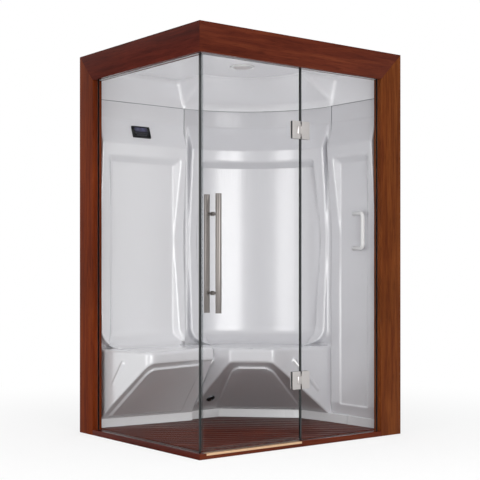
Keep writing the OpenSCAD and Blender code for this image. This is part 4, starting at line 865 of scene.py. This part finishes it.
# Corners and quads of the surface where form is zero, on a grid of the given step
def netSurface(form, low, high, step):
    axes = [np.arange(a, b + step * 0.5, step) for a, b in zip(low, high)]
    shape = tuple(len(a) for a in axes)
    field = np.empty(shape, np.float32)
    slab = 16
    for k in range(0, shape[0], slab):
        field[k:k + slab] = form(
            axes[0][k:k + slab, None, None], axes[1][None, :, None], axes[2][None, None, :])
    solid = field < 0
    count = np.zeros([n - 1 for n in shape], np.int8)
    for i, j, k in itertools.product((0, 1), repeat=3):
        count += solid[i:shape[0] - 1 + i, j:shape[1] - 1 + j, k:shape[2] - 1 + k]
    active = (count > 0) & (count < 8)
    cells = np.argwhere(active)
    index = np.full(active.shape, -1, np.int32)
    index[active] = np.arange(len(cells))
    total, hits = np.zeros((len(cells), 3)), np.zeros(len(cells))
    for axis in range(3):
        unit = np.eye(3, dtype=int)[axis]
        others = [a for a in range(3) if a != axis]
        for i, j in itertools.product((0, 1), repeat=2):
            start = cells.copy()
            start[:, others[0]] += i
            start[:, others[1]] += j
            end = start + unit
            f0, f1 = field[tuple(start.T)], field[tuple(end.T)]
            crosses = (f0 < 0) != (f1 < 0)
            share = np.where(crosses, f0 / np.where(crosses, f0 - f1, 1), 0)
            total += np.where(crosses[:, None], start + share[:, None] * unit, 0)
            hits += crosses
    points = np.array(low, float) + step * total / hits[:, None]
    quads = []
    for axis in range(3):
        b, c = (axis + 1) % 3, (axis + 2) % 3
        near, far = [slice(1, -1)] * 3, [slice(1, -1)] * 3
        near[axis], far[axis] = slice(0, -1), slice(1, None)
        in0, in1 = solid[tuple(near)], solid[tuple(far)]
        at = np.argwhere(in0 != in1)
        forward = in0[in0 != in1]
        at[:, b] += 1
        at[:, c] += 1

        def cell(db, dc):
            spot = at.copy()
            spot[:, b] -= db
            spot[:, c] -= dc
            return index[tuple(spot.T)]

        quad = np.stack([cell(1, 1), cell(0, 1), cell(0, 0), cell(1, 0)], 1)
        quad[~forward] = quad[~forward][:, ::-1]
        quads.append(quad)
    return points, np.concatenate(quads)


# The field's gradient at points, over a step of h mm each way
def slopeOf(form, p, h=0.5):
    g = np.empty_like(p)
    for axis in range(3):
        d = np.eye(3)[axis] * h
        g[:, axis] = (form(*(p + d).T) - form(*(p - d).T)) / (2 * h)
    return g


# Moves points onto the surface, each by no more than reach in a round
def settle(form, p, reach, rounds=4):
    for _ in range(rounds):
        g = slopeOf(form, p)
        move = (form(*p.T) / np.maximum((g * g).sum(1), 0.09))[:, None] * g
        size = np.linalg.norm(move, axis=1)[:, None]
        p = p - move * np.minimum(1, reach / np.maximum(size, 1e-9))
    return p


# A mesh from arrays of points and of faces that all have as many corners
def meshOf(name, points, faces):
    mesh = bpy.data.meshes.new(name)
    mesh.vertices.add(len(points))
    mesh.vertices.foreach_set("co", np.ascontiguousarray(points, np.float32).ravel())
    n = faces.shape[1]
    mesh.loops.add(faces.size)
    mesh.loops.foreach_set("vertex_index", faces.ravel().astype(np.int32))
    mesh.polygons.add(len(faces))
    mesh.polygons.foreach_set("loop_start", np.arange(0, faces.size, n, dtype=np.int32))
    mesh.update(calc_edges=True)
    mesh.validate()
    return mesh


# Fewer faces where the surface is flat
def thinned(name, points, faces, share):
    mesh = meshOf(name + "_full", place(points), faces)
    holder = bpy.data.objects.new(name + "_full", mesh)
    scene.collection.objects.link(holder)
    cut = holder.modifiers.new("thin", "DECIMATE")
    cut.ratio = share
    cut.use_collapse_triangulate = True
    ready = holder.evaluated_get(bpy.context.evaluated_depsgraph_get())
    result = bpy.data.meshes.new_from_object(ready)
    bpy.data.objects.remove(holder)
    p = np.empty(len(result.vertices) * 3)
    result.vertices.foreach_get("co", p)
    f = np.empty(len(result.loops), np.int32)
    result.loops.foreach_get("vertex_index", f)
    return p.reshape(-1, 3) * 1000 + planMid, f.reshape(-1, 3)


# A sheet of the wall's thickness whose room side is the form's surface inside the limits and the reach
def moulding(name, node, form, low, high, step, share, limits, material, reach=None):
    step = step
    points, quads = netSurface(form, low, high, step)
    points = settle(form, points, step * 0.5)
    floor, roof = np.array(limits[0], float), np.array(limits[1], float)
    outside = ((points < floor) | (points > roof)).any(1)
    if reach:
        away = points[:, :2] - centre
        far = np.linalg.norm(away, axis=1)
        turned = (away > 0).all(1) & (far > reach)
        outside |= turned
        points[turned, :2] = centre + away[turned] * (reach / far[turned])[:, None]
    quads = quads[~outside[quads].all(1)]
    used = np.unique(quads)
    remap = np.full(len(points), -1)
    remap[used] = np.arange(len(used))
    points, quads = np.clip(points[used], floor, roof), remap[quads]
    points, faces = thinned(name, points, quads, share)
    normals = slopeOf(form, points)
    normals /= np.maximum(np.linalg.norm(normals, axis=1), 1e-9)[:, None]
    back = np.clip(points - normals * wall["sheet"], None, roof)
    edges = np.concatenate([faces[:, [0, 1]], faces[:, [1, 2]], faces[:, [2, 0]]])
    _, where, times = np.unique(np.sort(edges, axis=1), axis=0, return_index=True, return_counts=True)
    start, end = edges[where[times == 1]].T
    n = len(points)
    rim = np.concatenate([np.stack([end, start, start + n], 1), np.stack([end, start + n, end + n], 1)])
    allFaces = np.concatenate([faces, faces[:, ::-1] + n, rim])
    mesh = meshOf(name, place(np.concatenate([points, back])), allFaces)
    mesh.shade_smooth()
    mesh.set_sharp_from_angle(angle=math.radians(50))
    addPiece(name, mesh, [look[material]], "cabin", [node])
    print(name, "faces", len(allFaces))


# Grid boxes and steps in mm, and the share of faces that is kept
flangeS, flangeT = wall["s"] + wall["flange"], wall["t"] + wall["flange"]
wallLimits = ((0, 0, wall["low"]), (flangeS, flangeT, wall["top"]))
coverLimits = ((wall["frameIn"], wall["frameIn"], cover["low"]),
               (wall["s"] + wall["sheet"], wall["t"] + wall["sheet"], cover["top"] + wall["sheet"]))
mouldings = {
    "back_moulding": {
        "node": "back_wall", "form": backForm, "low": (50, 620, 60), "high": (700, 1180, 1965),
        "step": 6, "share": 0.4, "limits": wallLimits, "material": "backAcrylic"},
    "corner_moulding": {
        "node": "corner_wall", "form": cornerForm, "low": (690, 478, 60), "high": (1390, 1180, 1965),
        "step": 6, "share": 0.35, "limits": wallLimits, "material": "acrylic",
        "reach": wall["radius"] + wall["flange"]},
    "side_moulding": {
        "node": "side_wall", "form": sideForm, "low": (1270, 50, 60), "high": (1390, 490, 1965),
        "step": 6, "share": 0.4, "limits": wallLimits, "material": "acrylic"},
    "ceiling_moulding": {
        "node": "ceiling_cover", "form": coverForm, "low": (40, 40, 1940), "high": (1360, 1150, 2140),
        "step": 8, "share": 0.4, "limits": coverLimits, "material": "coverAcrylic"},
}
for name, plan in mouldings.items():
    moulding(name, **plan)
print("mouldings made")

# Light, camera and background, in metres


# White to the camera, in mirrors and through glass; its light is that of a pale room with a dark skirting
def studioWorld():
    roomBands = [(0.0, 0.8), (0.32, 0.8), (0.38, 0.05), (0.485, 0.05), (0.53, 0.78)]  # from floor to ceiling
    world = bpy.data.worlds.new("studio")
    scene.world = world
    world.use_nodes = True
    tree = world.node_tree
    tree.nodes.clear()
    path = addNode(tree, "ShaderNodeLightPath").outputs
    seen = path["Is Camera Ray"]
    for ray in ("Is Transmission Ray", "Is Glossy Ray"):
        seen = addNode(tree, "ShaderNodeMath", {0: seen, 1: path[ray]}, operation="MAXIMUM")
    white = addNode(tree, "ShaderNodeBackground", {"Color": (1, 1, 1, 1), "Strength": 1.0})
    aim = addNode(tree, "ShaderNodeTexCoord").outputs["Generated"]
    parts = addNode(tree, "ShaderNodeSeparateXYZ", {0: aim})
    height = addNode(tree, "ShaderNodeMapRange", {"Value": parts.outputs["Z"], "From Min": -1, "From Max": 1})
    tone = addNode(tree, "ShaderNodeValToRGB", {"Fac": height}, roomBands)
    room = addNode(tree, "ShaderNodeBackground", {"Color": tone, "Strength": 1.0})
    both = addNode(tree, "ShaderNodeMixShader", {0: seen, 1: room, 2: white})
    addNode(tree, "ShaderNodeOutputWorld", {"Surface": both})


studio = {
    "floorSize": 60, "floorDrop": 0.0005, "floorTone": "#f4f4f4", "cloud": 1667,  # cloud in mm
    "shadow": 0.3, "shadowFrom": 0.9, "shadowTo": 3.2,  # share of shade near the object, and where it fades
    "aim": (0.25, 0.2, 1.35), "away": 3.6,
    "lamps": {"front_box": (-108, (1.7, 2.7), 48), "left_box": (-169, (1.4, 2.7), 25)},
}


# Matt white floor: pure white to the camera but for the object's own soft shadow, and unseen by other rays
def studioFloor():
    material, tree = newMaterial("pale_floor")
    cloud = addNode(tree, "ShaderNodeTexNoise", {
        "Vector": objectSpace(tree), "Scale": 1000 / studio["cloud"], "Detail": 3.0})
    matt = addNode(tree, "ShaderNodeMapRange", {"Value": cloud, "To Min": 0.8, "To Max": 0.9})
    shader = addNode(tree, "ShaderNodeBsdfPrincipled", {
        "Base Color": linear(studio["floorTone"]), "Roughness": matt, "Specular IOR Level": 0.0})
    white = addNode(tree, "ShaderNodeEmission", {"Color": (1, 1, 1, 1), "Strength": 1.0})
    away = addNode(tree, "ShaderNodeVectorMath", {0: objectSpace(tree)}, operation="LENGTH")
    share = addNode(tree, "ShaderNodeMapRange", {
        "Value": away.outputs["Value"], "From Min": studio["shadowFrom"], "From Max": studio["shadowTo"],
        "To Min": studio["shadow"], "To Max": 0.0}, interpolation_type="SMOOTHSTEP")
    shaded = addNode(tree, "ShaderNodeMixShader", {0: share, 1: white, 2: shader})
    seen = addNode(tree, "ShaderNodeLightPath").outputs["Is Camera Ray"]
    both = addNode(tree, "ShaderNodeMixShader", {0: seen, 1: shader, 2: shaded})
    half = studio["floorSize"] / 2
    corners = [(-half, -half, 0), (half, -half, 0), (half, half, 0), (-half, half, 0)]
    mesh = bpy.data.meshes.new("studio_floor")
    mesh.from_pydata(corners, [], [(0, 1, 2, 3)])
    mesh.update()
    mesh.materials.append(finished(material, both))
    floor = bpy.data.objects.new("studio_floor", mesh)
    scene.collection.objects.link(floor)
    floor.location.z = -studio["floorDrop"]
    floor.visible_diffuse = False
    floor.visible_glossy = False


# Soft box lamp that looks at the cabin from an azimuth in degrees
def softbox(name, azimuth, size, power):
    lamp = bpy.data.lights.new(name, "AREA")
    lamp.shape = "RECTANGLE"
    lamp.size, lamp.size_y = size
    lamp.energy = power
    holder = bpy.data.objects.new(name, lamp)
    turn = math.radians(azimuth)
    aimAt = Vector(studio["aim"])
    holder.location = aimAt + Vector((math.cos(turn), math.sin(turn), 0)) * studio["away"]
    holder.rotation_euler = (aimAt - holder.location).to_track_quat("-Z", "Y").to_euler()
    holder.visible_camera = False
    scene.collection.objects.link(holder)


studioWorld()
studioFloor()
for name, (azimuth, size, power) in studio["lamps"].items():
    softbox(name, azimuth, size, power)

# The photo's camera: its focal length, picture width and horizon in pixels, its place and its way in plan
shot = {
    "focal": 1082, "picture": 480, "horizon": 270.4, "eye": (-3.883, -4.985, 0.949), "way": (0.6149, 0.7886),
}
camera = bpy.data.cameras.new("view")
view = bpy.data.objects.new("view", camera)
scene.collection.objects.link(view)
scene.camera = view
camera.sensor_width = 36
camera.lens = shot["focal"] / shot["picture"] * camera.sensor_width
camera.shift_y = (shot["horizon"] - shot["picture"] / 2) / shot["picture"]
view.location = shot["eye"]
view.rotation_euler = (math.pi / 2, 0, -math.atan2(*shot["way"]))
scene.view_settings.view_transform = "Standard"
scene.view_settings.look = "None"
print("stage made")
